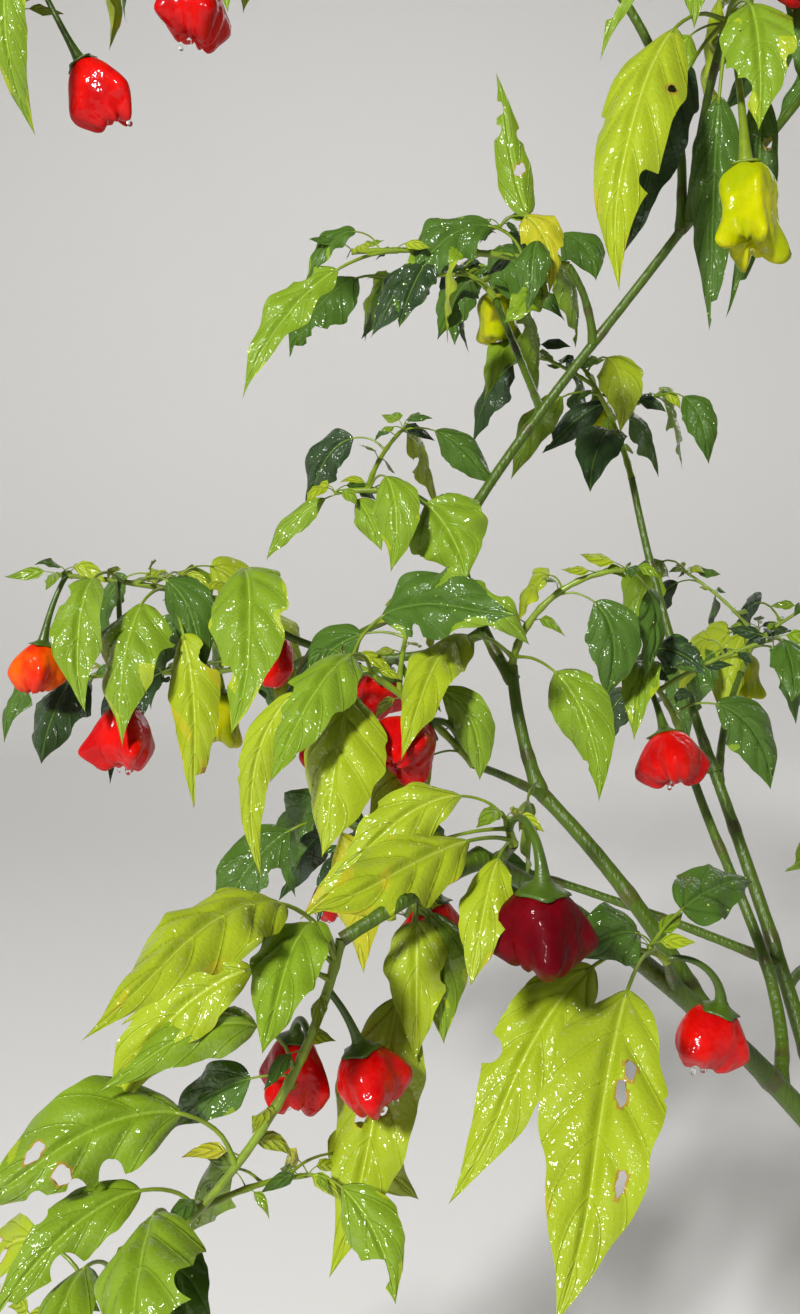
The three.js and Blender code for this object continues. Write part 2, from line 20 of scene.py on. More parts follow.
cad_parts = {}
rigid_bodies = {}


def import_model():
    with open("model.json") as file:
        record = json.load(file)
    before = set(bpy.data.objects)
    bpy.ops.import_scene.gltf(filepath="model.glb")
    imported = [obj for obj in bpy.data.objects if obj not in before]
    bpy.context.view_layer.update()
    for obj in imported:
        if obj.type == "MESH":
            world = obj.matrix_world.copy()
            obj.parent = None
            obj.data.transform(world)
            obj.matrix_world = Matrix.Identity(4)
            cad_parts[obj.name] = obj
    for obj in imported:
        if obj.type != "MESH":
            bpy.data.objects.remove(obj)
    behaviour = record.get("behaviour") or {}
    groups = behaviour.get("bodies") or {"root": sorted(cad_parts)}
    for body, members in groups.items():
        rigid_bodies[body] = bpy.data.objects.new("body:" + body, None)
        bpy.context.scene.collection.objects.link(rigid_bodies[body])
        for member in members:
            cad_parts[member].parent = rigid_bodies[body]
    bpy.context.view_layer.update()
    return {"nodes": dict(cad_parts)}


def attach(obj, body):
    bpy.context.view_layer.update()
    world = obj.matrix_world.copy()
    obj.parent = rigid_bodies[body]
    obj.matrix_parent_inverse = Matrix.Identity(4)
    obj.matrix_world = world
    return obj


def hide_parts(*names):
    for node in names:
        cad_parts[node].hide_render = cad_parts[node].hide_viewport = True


LOG = logging.getLogger("chilli_plant")
MM = 0.001

Row = tuple[float, ...]
Span = tuple[float, float]
Course = tuple[float, float, float, float, float]
Colour = tuple[float, float, float, float]
Bead = tuple[np.ndarray, np.ndarray, float]

# The growth rule of the solids.
ARC_STEPS = 8
LIGHT = np.array([-0.25, -0.85, 0.45])
LIGHT = LIGHT / np.linalg.norm(LIGHT)
MOST_TURN_TO_LIGHT = 75
SHARE_THAT_FACES_LIGHT = 0.6
PETIOLE_SHARE = 0.28
LEAF_EASE = 2
LEAF_DIVERGENCE = 137.5
DEALT_SAG = 20
DEALT_TURN = 10
PEDICEL_SUNK = 1.5
TRIES = 5

# A side vein runs on by this many gaps between veins by the margin, on a line bowed by this power.
VEIN_SLANT = 1.5
VEIN_BOW = 1.2
# A leaf has a pair of side veins for about every so many millimetres of its whole length.
VEIN_PAIR_EVERY = 27

# A phase is dealt from 0 to this many radians.
FULL_WAVE = 6.3

# A tube's UV place moves on by 1 in this many millimetres.
TUBE_UV_STEP = 10

# The looks have a row of chances of their own, this far on from a spray's seed.
LOOKS_SEED = 500


@dataclass(frozen=True)
class MainStem:
    """The main stem's length, lean, radii and root flare."""

    length: float = 300
    bearing: float = 160
    rise: float = 88
    sag: float = 4
    foot: float = 10
    tip: float = 7.5
    flare: float = 9
    flare_height: float = 26
    root_ridges: int = 5
    ridge_depth: float = 0.35


@dataclass(frozen=True)
class Bough:
    """One tapering limb: its parent, the share along it, and its own course and radii.

    A course is a bearing, a rise, a length, and how far it sags and turns by its tip.
    """

    name: str
    parent: str
    at: float
    course: Course
    foot: float
    tip: float


class Mood(Enum):
    """How a spray's leaves are coloured, mostly by painted light and shade: the shares of sunlit, brightly
    lit, mid-shaded, deep-shaded and yellow leaves.
    """

    SUNLIT = (0.54, 0.34, 0.08, 0.0, 0.04)
    BRIGHT = (0.26, 0.46, 0.24, 0.02, 0.02)
    MIXED = (0.12, 0.32, 0.38, 0.17, 0.01)
    SHADED = (0.04, 0.17, 0.42, 0.36, 0.01)


class Ripeness(Enum):
    """A fruit's colour."""

    RED = 0
    # A red fruit painted darker, standing in for a red fruit in shade.
    CRIMSON = 1
    ORANGE = 2
    GREEN = 3


@dataclass(frozen=True)
class Spray:
    """One mass of foliage: its stem, the leaves and fruit that show best, and what is dealt.

    A leaf's row is its share along the stem, bearing, lift, hang, whole length, width and curl. A
    fruit's row is its share, bearing, lift, hang, pedicel length, width and height. The tints are
    one letter a stated leaf: S, B, M and D for its green painted sunlit, brightly lit, in mid shade
    and in deep shade, and Y for yellow.
    """

    name: str
    on: str
    course: Course
    seed: int
    mood: Mood
    leaves: tuple[Row, ...] = ()
    fruit: tuple[Row, ...] = ()
    dealt: int = 4
    twigs: int = 2
    twig_bearing: float = 0
    dealt_fruit: int = 1
    size: float = 105
    ripeness: tuple[Ripeness, ...] = ()
    tints: str = ""


def dealt_spray(
    name: str, bearing: float, rise: float, length: float, seed: int, mood: Mood, green: bool = False
) -> Spray:
    """A spray that the rule deals whole, on the bough of the same name.

    Args:
        name: the spray's first name.
        bearing: the bearing of its stem and twigs.
        rise: the rise of its stem.
        length: the length of its stem.
        seed: the seed of its chances.
        mood: how its leaves are coloured.
        green: whether its fruit is unripe.

    Returns:
        The spray.
    """
    return Spray(
        f"{name}_spray", f"{name}_bough", (bearing, rise, length, DEALT_SAG, DEALT_TURN), seed, mood,
        twig_bearing=bearing, ripeness=(Ripeness.GREEN,) if green else (),
    )


BOUGHS = (
    Bough("low_bough", "main_stem", 1, (-160, 50, 340, 20, 20), 7, 4.2),
    Bough("low_left_bough", "low_bough", 1, (-135, -10, 80, 20, -30), 4, 3),
    Bough("middle_bough", "low_bough", 0.42, (160, 60, 155, 20, -10), 5, 4),
    Bough("centre_bough", "middle_bough", 1, (145, 65, 75, -10, -40), 3.8, 3.4),
    Bough("crook_bough", "centre_bough", 0.88, (145, 50, 100, -15, -40), 3.4, 3.2),
    Bough("upper_bough", "crook_bough", 1, (30, 55, 235, 5, -60), 3.2, 2.7),
    Bough("far_left_bough", "crook_bough", 0.35, (155, -30, 165, -70, 25), 2.8, 2.3),
    Bough("top_right_bough", "upper_bough", 1, (-85, 75, 100, 5, 30), 2.7, 2.3),
    Bough("top_left_bough", "upper_bough", 0.97, (-170, 95, 380, 120, -10), 2.9, 2.2),
    Bough("upper_left_bough", "upper_bough", 0.62, (-120, 75, 50, 30, -30), 2.5, 2.2),
    Bough("inner_bough", "low_bough", 0.2, (65, 40, 225, -35, 115), 4, 2.6),
    Bough("front_bough", "low_bough", 0.52, (-110, 40, 40, 0, 0), 2.8, 2.4),
    Bough("fork_bough", "low_bough", 0.97, (-65, 40, 22, 0, 0), 3, 2.4),
    Bough("hanging_bough", "low_left_bough", 0.15, (95, -5, 34, 30, 25), 2.6, 2.2),
    Bough("leafy_bough", "middle_bough", 0.97, (-145, 30, 60, 10, 5), 2.6, 2.2),
    Bough("heart_bough", "crook_bough", 0.9, (-120, 55, 50, 30, -30), 2.4, 2.1),
    Bough("left_back_bough", "crook_bough", 0.7, (125, -20, 165, 5, 30), 2.6, 2.2),
    Bough("upper_back_bough", "upper_bough", 0.4, (95, 30, 130, -20, 15), 2.6, 2.2),
    Bough("upper_far_bough", "upper_bough", 0.97, (25, 40, 140, -15, -20), 2.5, 2.2),
    Bough("right_bough", "main_stem", 0.97, (5, 55, 290, -10, 25), 6, 4.2),
    Bough("right_low_bough", "right_bough", 0.35, (-30, 25, 170, 20, 15), 3.4, 2.4),
    Bough("right_back_bough", "right_bough", 0.55, (80, 25, 170, 0, -25), 3.2, 2.3),
    Bough("right_front_bough", "right_bough", 0.75, (-75, 35, 150, 5, 30), 3, 2.3),
    Bough("right_far_bough", "right_bough", 0.98, (-5, 30, 130, 0, -15), 3, 2.3),
    Bough("right_top_bough", "right_bough", 1, (50, 70, 210, 0, 30), 3.8, 2.5),
    Bough("back_bough", "main_stem", 0.94, (95, 50, 270, -10, 25), 5.5, 3.8),
    Bough("back_low_bough", "back_bough", 0.45, (50, 10, 150, 5, -15), 3.2, 2.3),
    Bough("back_left_bough", "back_bough", 0.5, (165, 20, 200, 5, 10), 3.4, 2.4),
    Bough("back_middle_bough", "back_bough", 0.97, (75, 35, 120, 5, -15), 3, 2.3),
    Bough("back_top_bough", "back_bough", 1, (135, 65, 220, -5, -20), 3.6, 2.5),
    Bough("near_right_bough", "main_stem", 0.9, (-65, 40, 200, -5, 15), 4.4, 2.5),
)

SPRAYS = (
    Spray(
        "low_left_spray", "low_left_bough", (-150, -75, 225, -50, -35), 11, Mood.SUNLIT,
        leaves=(
            (0.04, -135, 70, 25, 165, 38, 20), (0.05, -175, 55, 55, 115, 28, -15),
            (0.08, -160, 40, 60, 130, 32, -5), (0.04, -120, 85, 50, 105, 32, 20),
            (0.27, -160, 85, 35, 105, 26, 10), (0.28, 165, 0, 40, 70, 24, 0),
            (0.48, -155, 80, 35, 135, 44, 5), (0.59, -145, 60, 45, 115, 27, 5),
            (0.66, -95, 70, 40, 150, 46, 10), (0.8, -110, 70, 45, 120, 26, 20),
            (0.86, 160, 75, 80, 120, 24, -20), (0.72, -55, 75, 65, 95, 26, -15),
        ),
        fruit=((0.1, 0, -50, 75, 32, 34, 30), (0.2, 110, 40, 85, 32, 31, 36)),
        dealt=0, twigs=1, twig_bearing=100, dealt_fruit=0, size=95, tints="SSSBBMBBBBSM",
    ),
    Spray(
        "front_spray", "front_bough", (-135, 35, 20, 0, 0), 12, Mood.SUNLIT,
        leaves=(
            (0.5, -140, 30, 65, 180, 40, 0), (0.7, -115, 20, 60, 205, 55, 5),
            (0.6, -145, 65, 20, 66, 33, 0), (0.95, 35, 45, 5, 100, 34, 10),
        ),
        fruit=((0.1, -10, 20, 105, 46, 39, 34),),
        dealt=0, twigs=0, dealt_fruit=0, size=100, tints="SSMM",
    ),
    Spray(
        "hanging_spray", "hanging_bough", (140, -40, 34, 20, 5), 13, Mood.SUNLIT,
        leaves=((0.6, -105, -50, 70, 178, 43, -20), (0.8, -70, 45, 95, 90, 29, -5)),
        fruit=((0.5, 75, 45, 95, 36, 36, 32),),
        dealt=1, twigs=0, twig_bearing=60, dealt_fruit=0, size=80, tints="SBS",
    ),
    Spray(
        "fork_spray", "fork_bough", (-120, 60, 16, 0, 0), 35, Mood.BRIGHT,
        leaves=(
            (0.95, -155, 55, 45, 95, 28, 0), (0.6, -160, 5, 30, 105, 28, -10),
            (0.15, -125, 20, 15, 125, 36, -10), (0.5, 60, 45, 75, 110, 34, 30),
            (0.1, -110, 15, 60, 85, 24, 0),
        ),
        fruit=((0.6, -75, 50, 95, 60, 44, 37),),
        # Its fruit is red painted darker as shade.
        dealt=0, twigs=0, dealt_fruit=0, size=90, ripeness=(Ripeness.CRIMSON,), tints="SSSBS",
    ),
    Spray(
        "centre_spray", "leafy_bough", (-170, 50, 95, 20, -10), 14, Mood.SUNLIT,
        leaves=(
            (0.79, -100, 50, 55, 130, 36, -25), (0.8, -105, 15, 75, 125, 48, 0),
            (0.82, 175, 10, 95, 150, 22, 0), (0.93, -30, 75, 15, 112, 42, -5),
            (0.1, -145, 20, 55, 75, 28, -5),
        ),
        fruit=(
            (0.12, -130, 80, 30, 42, 34, 34), (0.5, 110, 75, 50, 62, 33, 33),
            (0.88, 115, 0, 85, 62, 32, 32),
        ),
        dealt=1, twigs=1, twig_bearing=130, dealt_fruit=0, size=95, tints="BSSMS",
    ),
    Spray(
        "arch_spray", "centre_bough", (-20, 80, 95, 80, 20), 15, Mood.BRIGHT,
        leaves=(
            (0.05, -140, 42, 40, 160, 32, 35), (0.06, -45, 10, 75, 112, 34, -5),
            (0.52, -20, 25, 105, 85, 34, 0), (0.97, 25, -10, 105, 75, 28, 10),
        ),
        dealt=1, twigs=0, twig_bearing=40, dealt_fruit=0, size=80, tints="SBMM",
    ),
    Spray(
        "far_left_spray", "far_left_bough", (-175, 15, 110, 10, 5), 16, Mood.SUNLIT,
        leaves=(
            (0.06, -60, 65, 75, 165, 48, -30), (0.39, -110, 15, 85, 125, 47, 5),
            (0.4, -70, -15, 100, 150, 32, 20), (0.65, -115, 40, 90, 120, 34, 25),
        ),
        fruit=(
            (0.96, -150, -60, 80, 45, 31, 30), (0.68, -75, -55, 85, 80, 41, 39),
            (0.08, 30, 35, 100, 48, 36, 36),
        ),
        dealt=1, twigs=1, twig_bearing=120, dealt_fruit=0, size=90, ripeness=(Ripeness.ORANGE,),
        tints="BBSB",
    ),
    Spray(
        "heart_spray", "heart_bough", (180, 15, 48, 25, 0), 17, Mood.BRIGHT,
        leaves=(
            (0.22, -40, 0, 65, 78, 50, 0), (0.69, 175, 0, 50, 72, 17, 0), (0.88, -55, -5, 60, 52, 19, 5),
        ),
        dealt=1, twigs=1, twig_bearing=130, dealt_fruit=0, size=85, tints="BBB",
    ),
    Spray(
        "upper_left_spray", "upper_left_bough", (-175, 10, 130, 15, 0), 18, Mood.MIXED,
        leaves=(
            (0.79, -170, -5, 60, 135, 31, 10), (0.87, -175, 75, 75, 66, 16, 5),
            (0.52, -150, 0, 65, 82, 32, 0), (0.59, -125, -20, 65, 68, 23, -5),
            (0.21, -165, 75, 60, 98, 40, 0), (0.13, -100, 65, 95, 72, 21, -10),
            (0.05, -140, -40, 45, 58, 21, 0), (0.06, 165, 50, -85, 120, 22, 0),
        ),
        dealt=0, twigs=1, twig_bearing=110, dealt_fruit=0, size=90, tints="BMDDMMBB",
    ),
    Spray(
        "inner_spray", "inner_bough", (-150, 70, 62, 30, -30), 19, Mood.SHADED,
        leaves=((0.96, -30, 70, 40, 56, 22, -5),),
        fruit=((0.9, -75, -30, 60, 52, 41, 33),),
        dealt=3, twigs=1, twig_bearing=60, dealt_fruit=0, size=90, tints="D",
    ),
    Spray(
        "upper_right_spray", "top_right_bough", (-60, 60, 60, -10, -5), 20, Mood.BRIGHT,
        leaves=(
            (0.1, -130, 0, 75, 240, 42, 5), (0.08, -165, 0, 80, 85, 30, 0),
            (0.12, -140, -35, 75, 160, 32, -10), (0.15, -120, -65, 92, 178, 30, 0),
            (0.2, -85, 5, 80, 122, 40, -10), (0.2, -45, -55, 105, 175, 22, -15),
            (0.3, -175, 75, 70, 115, 16, 5), (0.12, -25, 55, 105, 115, 34, 5),
        ),
        fruit=((0.1, -90, -50, 76, 105, 37, 49),),
        dealt=2, twigs=1, twig_bearing=60, dealt_fruit=1, ripeness=(Ripeness.GREEN,), tints="SBDMBMBM",
    ),
    Spray(
        "top_left_spray", "top_left_bough", (-175, -5, 150, 40, -15), 21, Mood.BRIGHT,
        leaves=(
            (0.04, -55, 5, 120, 85, 28, 0), (0.93, -75, 55, 125, 140, 24, -30),
            (0.6, 180, 20, 75, 125, 40, 0),
        ),
        fruit=((0.85, 0, -65, 60, 50, 35, 41), (0.25, -45, -40, 95, 45, 40, 41)),
        dealt=3, twigs=2, twig_bearing=120, dealt_fruit=0, size=100, tints="BBM",
    ),
    dealt_spray("left_back", 160, 0, 90, 22, Mood.SHADED, True),
    dealt_spray("upper_back", 105, 35, 80, 23, Mood.SHADED, True),
    dealt_spray("upper_far", 10, 40, 85, 24, Mood.MIXED, True),
    dealt_spray("right_low", -15, 5, 90, 25, Mood.MIXED),
    dealt_spray("right_back", 60, 20, 90, 26, Mood.SHADED),
    dealt_spray("right_front", -45, 30, 85, 27, Mood.BRIGHT, True),
    dealt_spray("right_far", -20, 25, 85, 28, Mood.MIXED),
    dealt_spray("right_top", 75, 65, 110, 29, Mood.BRIGHT),
    dealt_spray("back_low", 35, 5, 90, 30, Mood.SHADED),
    dealt_spray("back_left", 175, 15, 95, 31, Mood.SHADED),
    dealt_spray("back_middle", 60, 30, 85, 32, Mood.MIXED, True),
    dealt_spray("back_top", 115, 65, 110, 33, Mood.MIXED, True),
    dealt_spray("near_right", -50, 35, 95, 34, Mood.BRIGHT),
)


class Chance:
    """A seeded row of numbers from 0 to 1, the same row as the solids' rule uses."""

    def __init__(self, seed: int) -> None:
        """Starts the row at its seed."""
        self.state = (seed * 2654435761) % 2**32

    def next(self) -> float:
        """The next number from 0 to 1."""
        self.state = (self.state * 1664525 + 1013904223) % 2**32
        return self.state / 2**32

    def between(self, least: float, most: float) -> float:
        """A number from least to most."""
        return least + self.next() * (most - least)

    def about(self, most: float) -> float:
        """A number up to most, either way from 0."""
        return self.between(-most, most)

    def phase(self) -> float:
        """A phase anywhere in a wave."""
        return self.between(0, FULL_WAVE)

    def count(self, span: Span) -> int:
        """A whole number, rounded down from one in the span."""
        return int(self.between(*span))

    def deal(self, spans: tuple[Span, ...]) -> Row:
        """One number from each span, in order."""
        return tuple(self.between(*span) for span in spans)


def directions(slope: np.ndarray, bearing: np.ndarray) -> tuple[np.ndarray, np.ndarray, np.ndarray]:
    """The directions along, across and over a path.

    Args:
        slope: slopes above level, in degrees.
        bearing: bearings in degrees.

    Returns:
        Unit vectors along, across and over, one row for each slope.
    """
    e, b = np.radians(np.atleast_1d(slope)), np.radians(np.atleast_1d(bearing))
    along = np.stack([np.cos(e) * np.cos(b), np.cos(e) * np.sin(b), np.sin(e)], axis=1)
    across = np.stack([-np.sin(b), np.cos(b), np.zeros_like(b)], axis=1)
    return along, across, np.cross(along, across)


def around(turn: np.ndarray, first: np.ndarray, second: np.ndarray) -> np.ndarray:
    """Directions at angles round from the first one towards the second."""
    return np.cos(turn)[..., None] * first + np.sin(turn)[..., None] * second


def full_turn(sides: int) -> np.ndarray:
    """Evenly spaced angles once round."""
    return np.linspace(0, math.tau, sides, endpoint=False)


def limited(value: float, least: float, most: float) -> float:
    """The value, kept from least to most."""
    return min(most, max(least, value))


def spline(rows: np.ndarray, place: np.ndarray) -> np.ndarray:
    """A smooth curve through rows of numbers.

    Args:
        rows: what the curve runs through.
        place: where it is read, 0 at the first row and 1 more at each next one.

    Returns:
        One row for each place.
    """
    place = np.atleast_1d(place)
    step = np.minimum(place.astype(int), len(rows) - 2)
    t = (place - step)[:, None]
    p = np.vstack([2 * rows[0] - rows[1], rows, 2 * rows[-1] - rows[-2]])
    a, b, c, d = p[step], p[step + 1], p[step + 2], p[step + 3]
    return 0.5 * (2 * b + (c - a) * t + (2 * a - 5 * b + 4 * c - d) * t**2 + (3 * b - a - 3 * c + d) * t**3)


@dataclass
class Arc:
    """A path from a start point that bends evenly, or mostly near its root if it is eased."""

    start: np.ndarray
    bearing: float
    rise: float
    length: float
    sag: float = 0
    turn: float = 0
    ease: float = 1
    points: np.ndarray = field(init=False)

    def __post_init__(self) -> None:
        """Works out the evenly spaced points."""
        along, _, _ = self.frame((np.arange(ARC_STEPS) + 0.5) / ARC_STEPS)
        steps = along * self.length / ARC_STEPS
        self.points = np.vstack([self.start, self.start + np.cumsum(steps, axis=0)])

    def frame(self, share: np.ndarray) -> tuple[np.ndarray, np.ndarray, np.ndarray]:
        """The directions along, across and over the arc at shares of its length."""
        bent = 1 - np.power(np.clip(1 - np.atleast_1d(share), 0, None), self.ease)
        return directions(self.rise - self.sag * bent, self.bearing + self.turn * bent)

    def point(self, share: float) -> np.ndarray:
        """The point at a share of the length, on the straight steps that the solids use.

        Args:
            share: 0 at the start and 1 at the tip.

        Returns:
            The point.
        """
        place = share * ARC_STEPS
        step = int(limited(math.floor(place), 0, ARC_STEPS - 1))
        return self.points[step] + (self.points[step + 1] - self.points[step]) * (place - step)

    def smooth(self, share: np.ndarray) -> np.ndarray:
        """Points at shares of the length, on a smooth curve through the arc's own points."""
        return spline(self.points, np.clip(share, 0, 1) * ARC_STEPS)


def roll_to_light(arc: Arc) -> float:
    """The roll that turns a leaf's upper side to the light.

    Args:
        arc: the leaf's path.

    Returns:
        The roll in degrees.
    """
    _, across, over = arc.frame(np.array([SHARE_THAT_FACES_LIGHT]))
    roll = math.degrees(math.atan2(-LIGHT @ across[0], LIGHT @ over[0]))
    return limited(roll, -MOST_TURN_TO_LIGHT, MOST_TURN_TO_LIGHT)


def add_object(name: str, data: bpy.types.ID) -> bpy.types.Object:
    """Adds an object to the scene.

    Args:
        name: its name.
        data: its mesh, curve, camera or light.

    Returns:
        The object.
    """
    made = bpy.data.objects.new(name, data)
    bpy.context.scene.collection.objects.link(made)
    return made


def grid_faces(rows: int, columns: int, closed: bool) -> np.ndarray:
    """The faces between rows of corners.

    Args:
        rows: how many rows there are.
        columns: how many corners a row has.
        closed: whether the last column meets the first.

    Returns:
        Four corner numbers a face.
    """
    number = np.arange(rows * columns).reshape(rows, columns)
    beside = np.roll(number, -1, axis=1) if closed else number[:, 1:]
    here = number if closed else number[:, :-1]
    return np.stack([here[:-1], beside[:-1], beside[1:], here[1:]], axis=2).reshape(-1, 4)


@dataclass
class MeshStore:
    """Collects the corners, faces, materials and UV places of many small shapes for one piece."""

    name: str
    corners: list[np.ndarray] = field(default_factory=list)
    faces: list[np.ndarray] = field(default_factory=list)
    slots: list[np.ndarray] = field(default_factory=list)
    places: list[np.ndarray] = field(default_factory=list)
    count: int = 0

    def add(self, corners: np.ndarray, faces: np.ndarray, slots: np.ndarray, places: np.ndarray) -> None:
        """Adds one shape.

        Args:
            corners: its points, in millimetres.
            faces: four corner numbers a face.
            slots: the material slot of each face.
            places: the UV place of each corner.
        """
        self.corners.append(corners)
        self.faces.append(faces + self.count)
        self.slots.append(slots)
        self.places.append(places)
        self.count += len(corners)

    def add_rings(self, corners: np.ndarray, slot: int, u: np.ndarray, v: np.ndarray) -> None:
        """Adds closed rings of points as a tube.

        Args:
            corners: rings by sides by 3.
            slot: its material slot.
            u: the UV place of each side.
            v: the UV place of each ring.
        """
        faces = grid_faces(*corners.shape[:2], True)
        places = np.stack(np.meshgrid(u, v), axis=2)
        self.add(corners.reshape(-1, 3), faces, np.full(len(faces), slot), places.reshape(-1, 2))

    def build(self, materials: list[bpy.types.Material]) -> bpy.types.Object:
        """Makes the piece, with smooth faces and the collected materials and UV places.

        Args:
            materials: the materials, in slot order.

        Returns:
            The piece.
        """
        corners = np.vstack(self.corners) * MM
        slots = np.concatenate(self.slots)
        mesh = bpy.data.meshes.new(self.name)
        mesh.from_pydata(corners.tolist(), [], np.vstack(self.faces).tolist())
        for material in materials:
            mesh.materials.append(material)
        mesh.polygons.foreach_set("material_index", slots.astype(np.int32))
        mesh.polygons.foreach_set("use_smooth", np.ones(len(slots), bool))
        at = np.zeros(len(mesh.loops), np.int32)
        mesh.loops.foreach_get("vertex_index", at)
        places = np.vstack(self.places)[at].astype(np.float32)
        mesh.uv_layers.new(name="leaf").data.foreach_set("uv", places.ravel())
        mesh.update()
        return add_object(self.name, mesh)


def tube(store: MeshStore, arc: Arc, radii: np.ndarray, sides: int, slot: int, until: float = 1) -> None:
    """Adds a round tube with a pointed cap along an arc.

    Args:
        store: where it goes.
        arc: its path.
        radii: its radius at evenly spaced stations.
        sides: how many sides it has.
        slot: its material slot.
        until: the share of the arc that it covers.
    """
    shares = np.linspace(0, until, len(radii))
    centres = arc.smooth(shares)
    _, across, over = arc.frame(shares)
    turn = full_turn(sides)
    corners = centres[:, None] + around(turn[None], across[:, None], over[:, None]) * radii[:, None, None]
    corners = np.concatenate([corners, np.repeat(centres[-1][None, None], sides, axis=1)])
    v = np.append(shares, shares[-1]) * arc.length / TUBE_UV_STEP
    store.add_rings(corners, slot, turn / math.pi, v)


class NodeBoard:
    """Short ways to add and link nodes in one tree. A _ stands for a space in a socket's name."""

    def __init__(self, tree: bpy.types.NodeTree) -> None:
        """Starts on a tree."""
        self.tree = tree

    def feed(self, socket: bpy.types.NodeSocket, value: object) -> None:
        """Links a socket to an input, or sets the input's value.

        Args:
            socket: the input.
            value: another node's socket, or a plain value.
        """
        if isinstance(value, bpy.types.NodeSocket):
            self.tree.links.new(value, socket)
        else:
            socket.default_value = value

    def feed_all(self, made: bpy.types.Node, inputs: dict[str, object]) -> bpy.types.Node:
        """Feeds a node's inputs by name.

        Args:
            made: the node.
            inputs: a value or a socket for each input.

        Returns:
            The node.
        """
        for name, value in inputs.items():
            self.feed(made.inputs[name.replace("_", " ")], value)
        return made

    def node(self, kind: str, **inputs: object) -> bpy.types.Node:
        """Adds a node and feeds its inputs."""
        return self.feed_all(self.tree.nodes.new(kind), inputs)

    def group(self, tree: bpy.types.NodeTree, **inputs: object) -> bpy.types.bpy_prop_collection:
        """Places a shader node group and feeds its inputs.

        Args:
            tree: the group.
            inputs: a value or a socket for each input.

        Returns:
            The group's outputs.
        """
        made = self.tree.nodes.new("ShaderNodeGroup")
        made.node_tree = tree
        return self.feed_all(made, inputs).outputs

    def math(self, kind: str, *values: object) -> bpy.types.NodeSocket:
        """The outcome of one sum.

        Args:
            kind: the sum.
            values: the numbers or sockets that go in, in order.

        Returns:
            The outcome.
        """
        made = self.tree.nodes.new("ShaderNodeMath")
        made.operation = kind
        for socket, value in zip(made.inputs, values):
            self.feed(socket, value)
        return made.outputs[0]

    def smooth(self, value: object, low: float, high: float) -> bpy.types.NodeSocket:
        """A smooth step from 0 at low to 1 at high.

        Args:
            value: what is read.
            low: where the step starts.
            high: where it ends.

        Returns:
            The step.
        """
        made = self.node("ShaderNodeMapRange", Value=value, From_Min=low, From_Max=high)
        made.interpolation_type = "SMOOTHSTEP"
        return made.outputs["Result"]

    def cloud(self, place: bpy.types.NodeSocket, scale: object, detail: int) -> bpy.types.NodeSocket:
        """Soft noise at a scale."""
        return self.node("ShaderNodeTexNoise", Vector=place, Scale=scale, Detail=detail).outputs["Fac"]

    def mix(self, factor: object, first: object, second: object) -> bpy.types.NodeSocket:
        """A colour between two colours.

        Args:
            factor: 0 for the first and 1 for the second.
            first: the first colour.
            second: the second colour.

        Returns:
            The colour.
        """
        made = self.node("ShaderNodeMix", Factor=factor)
        made.data_type = "RGBA"
        self.feed(made.inputs[6], first)
        self.feed(made.inputs[7], second)
        return made.outputs[2]


class Pattern(NodeBoard):
    """A shader node group with a place, plain numbers and number outputs."""

    def __init__(self, name: str, numbers: dict[str, float], outputs: tuple[str, ...]) -> None:
        """Starts the group with its sockets.

        Args:
            name: its name.
            numbers: each plain input and its usual value.
            outputs: the names of its outputs.
        """
        super().__init__(bpy.data.node_groups.new(name, "ShaderNodeTree"))
        sockets = self.tree.interface
        sockets.new_socket("Place", in_out="INPUT", socket_type="NodeSocketVector")
        for title, value in numbers.items():
            sockets.new_socket(title, in_out="INPUT", socket_type="NodeSocketFloat").default_value = value
        for title in outputs:
            sockets.new_socket(title, in_out="OUTPUT", socket_type="NodeSocketFloat")
        self.given = self.tree.nodes.new("NodeGroupInput")
        self.end = self.tree.nodes.new("NodeGroupOutput")

    def finish(self, **outputs: bpy.types.NodeSocket) -> bpy.types.NodeTree:
        """Feeds the outputs and gives the group."""
        self.feed_all(self.end, outputs)
        return self.tree


def vein_pattern() -> bpy.types.NodeTree:
    """The pattern of a leaf: side veins that curve to the tip, and swellings between them.

    Returns:
        A group with the inputs Place and Slant, and the outputs Height and Veins.
    """
    vein_edge, margin_fade, bulge_power, small_veins, small_height = (0.02, 0.2), (0.55, 1.0), 0.5, 4, 0.03
    p = Pattern("leaf_veins", {"Slant": VEIN_SLANT}, ("Height", "Veins"))
    parts = p.node("ShaderNodeSeparateXYZ", Vector=p.given.outputs["Place"])
    across = p.math("ABSOLUTE", p.math("SUBTRACT", p.math("MULTIPLY", parts.outputs["X"], 2), 1))
    bowed = p.math("MULTIPLY", p.math("POWER", across, VEIN_BOW), p.given.outputs["Slant"])
    course = p.math("SUBTRACT", parts.outputs["Y"], bowed)
    swell = p.math("ABSOLUTE", p.math("SINE", p.math("MULTIPLY", course, math.pi)))
    vein = p.math("SUBTRACT", 1, p.smooth(swell, *vein_edge))
    fade = p.math("SUBTRACT", 1, p.smooth(across, *margin_fade))
    small = p.math("ABSOLUTE", p.math("SINE", p.math("MULTIPLY", course, math.pi * small_veins)))
    height = p.math("ADD", p.math("POWER", swell, bulge_power), p.math("MULTIPLY", small, small_height))
    return p.finish(Height=height, Veins=p.math("MULTIPLY", vein, fade))


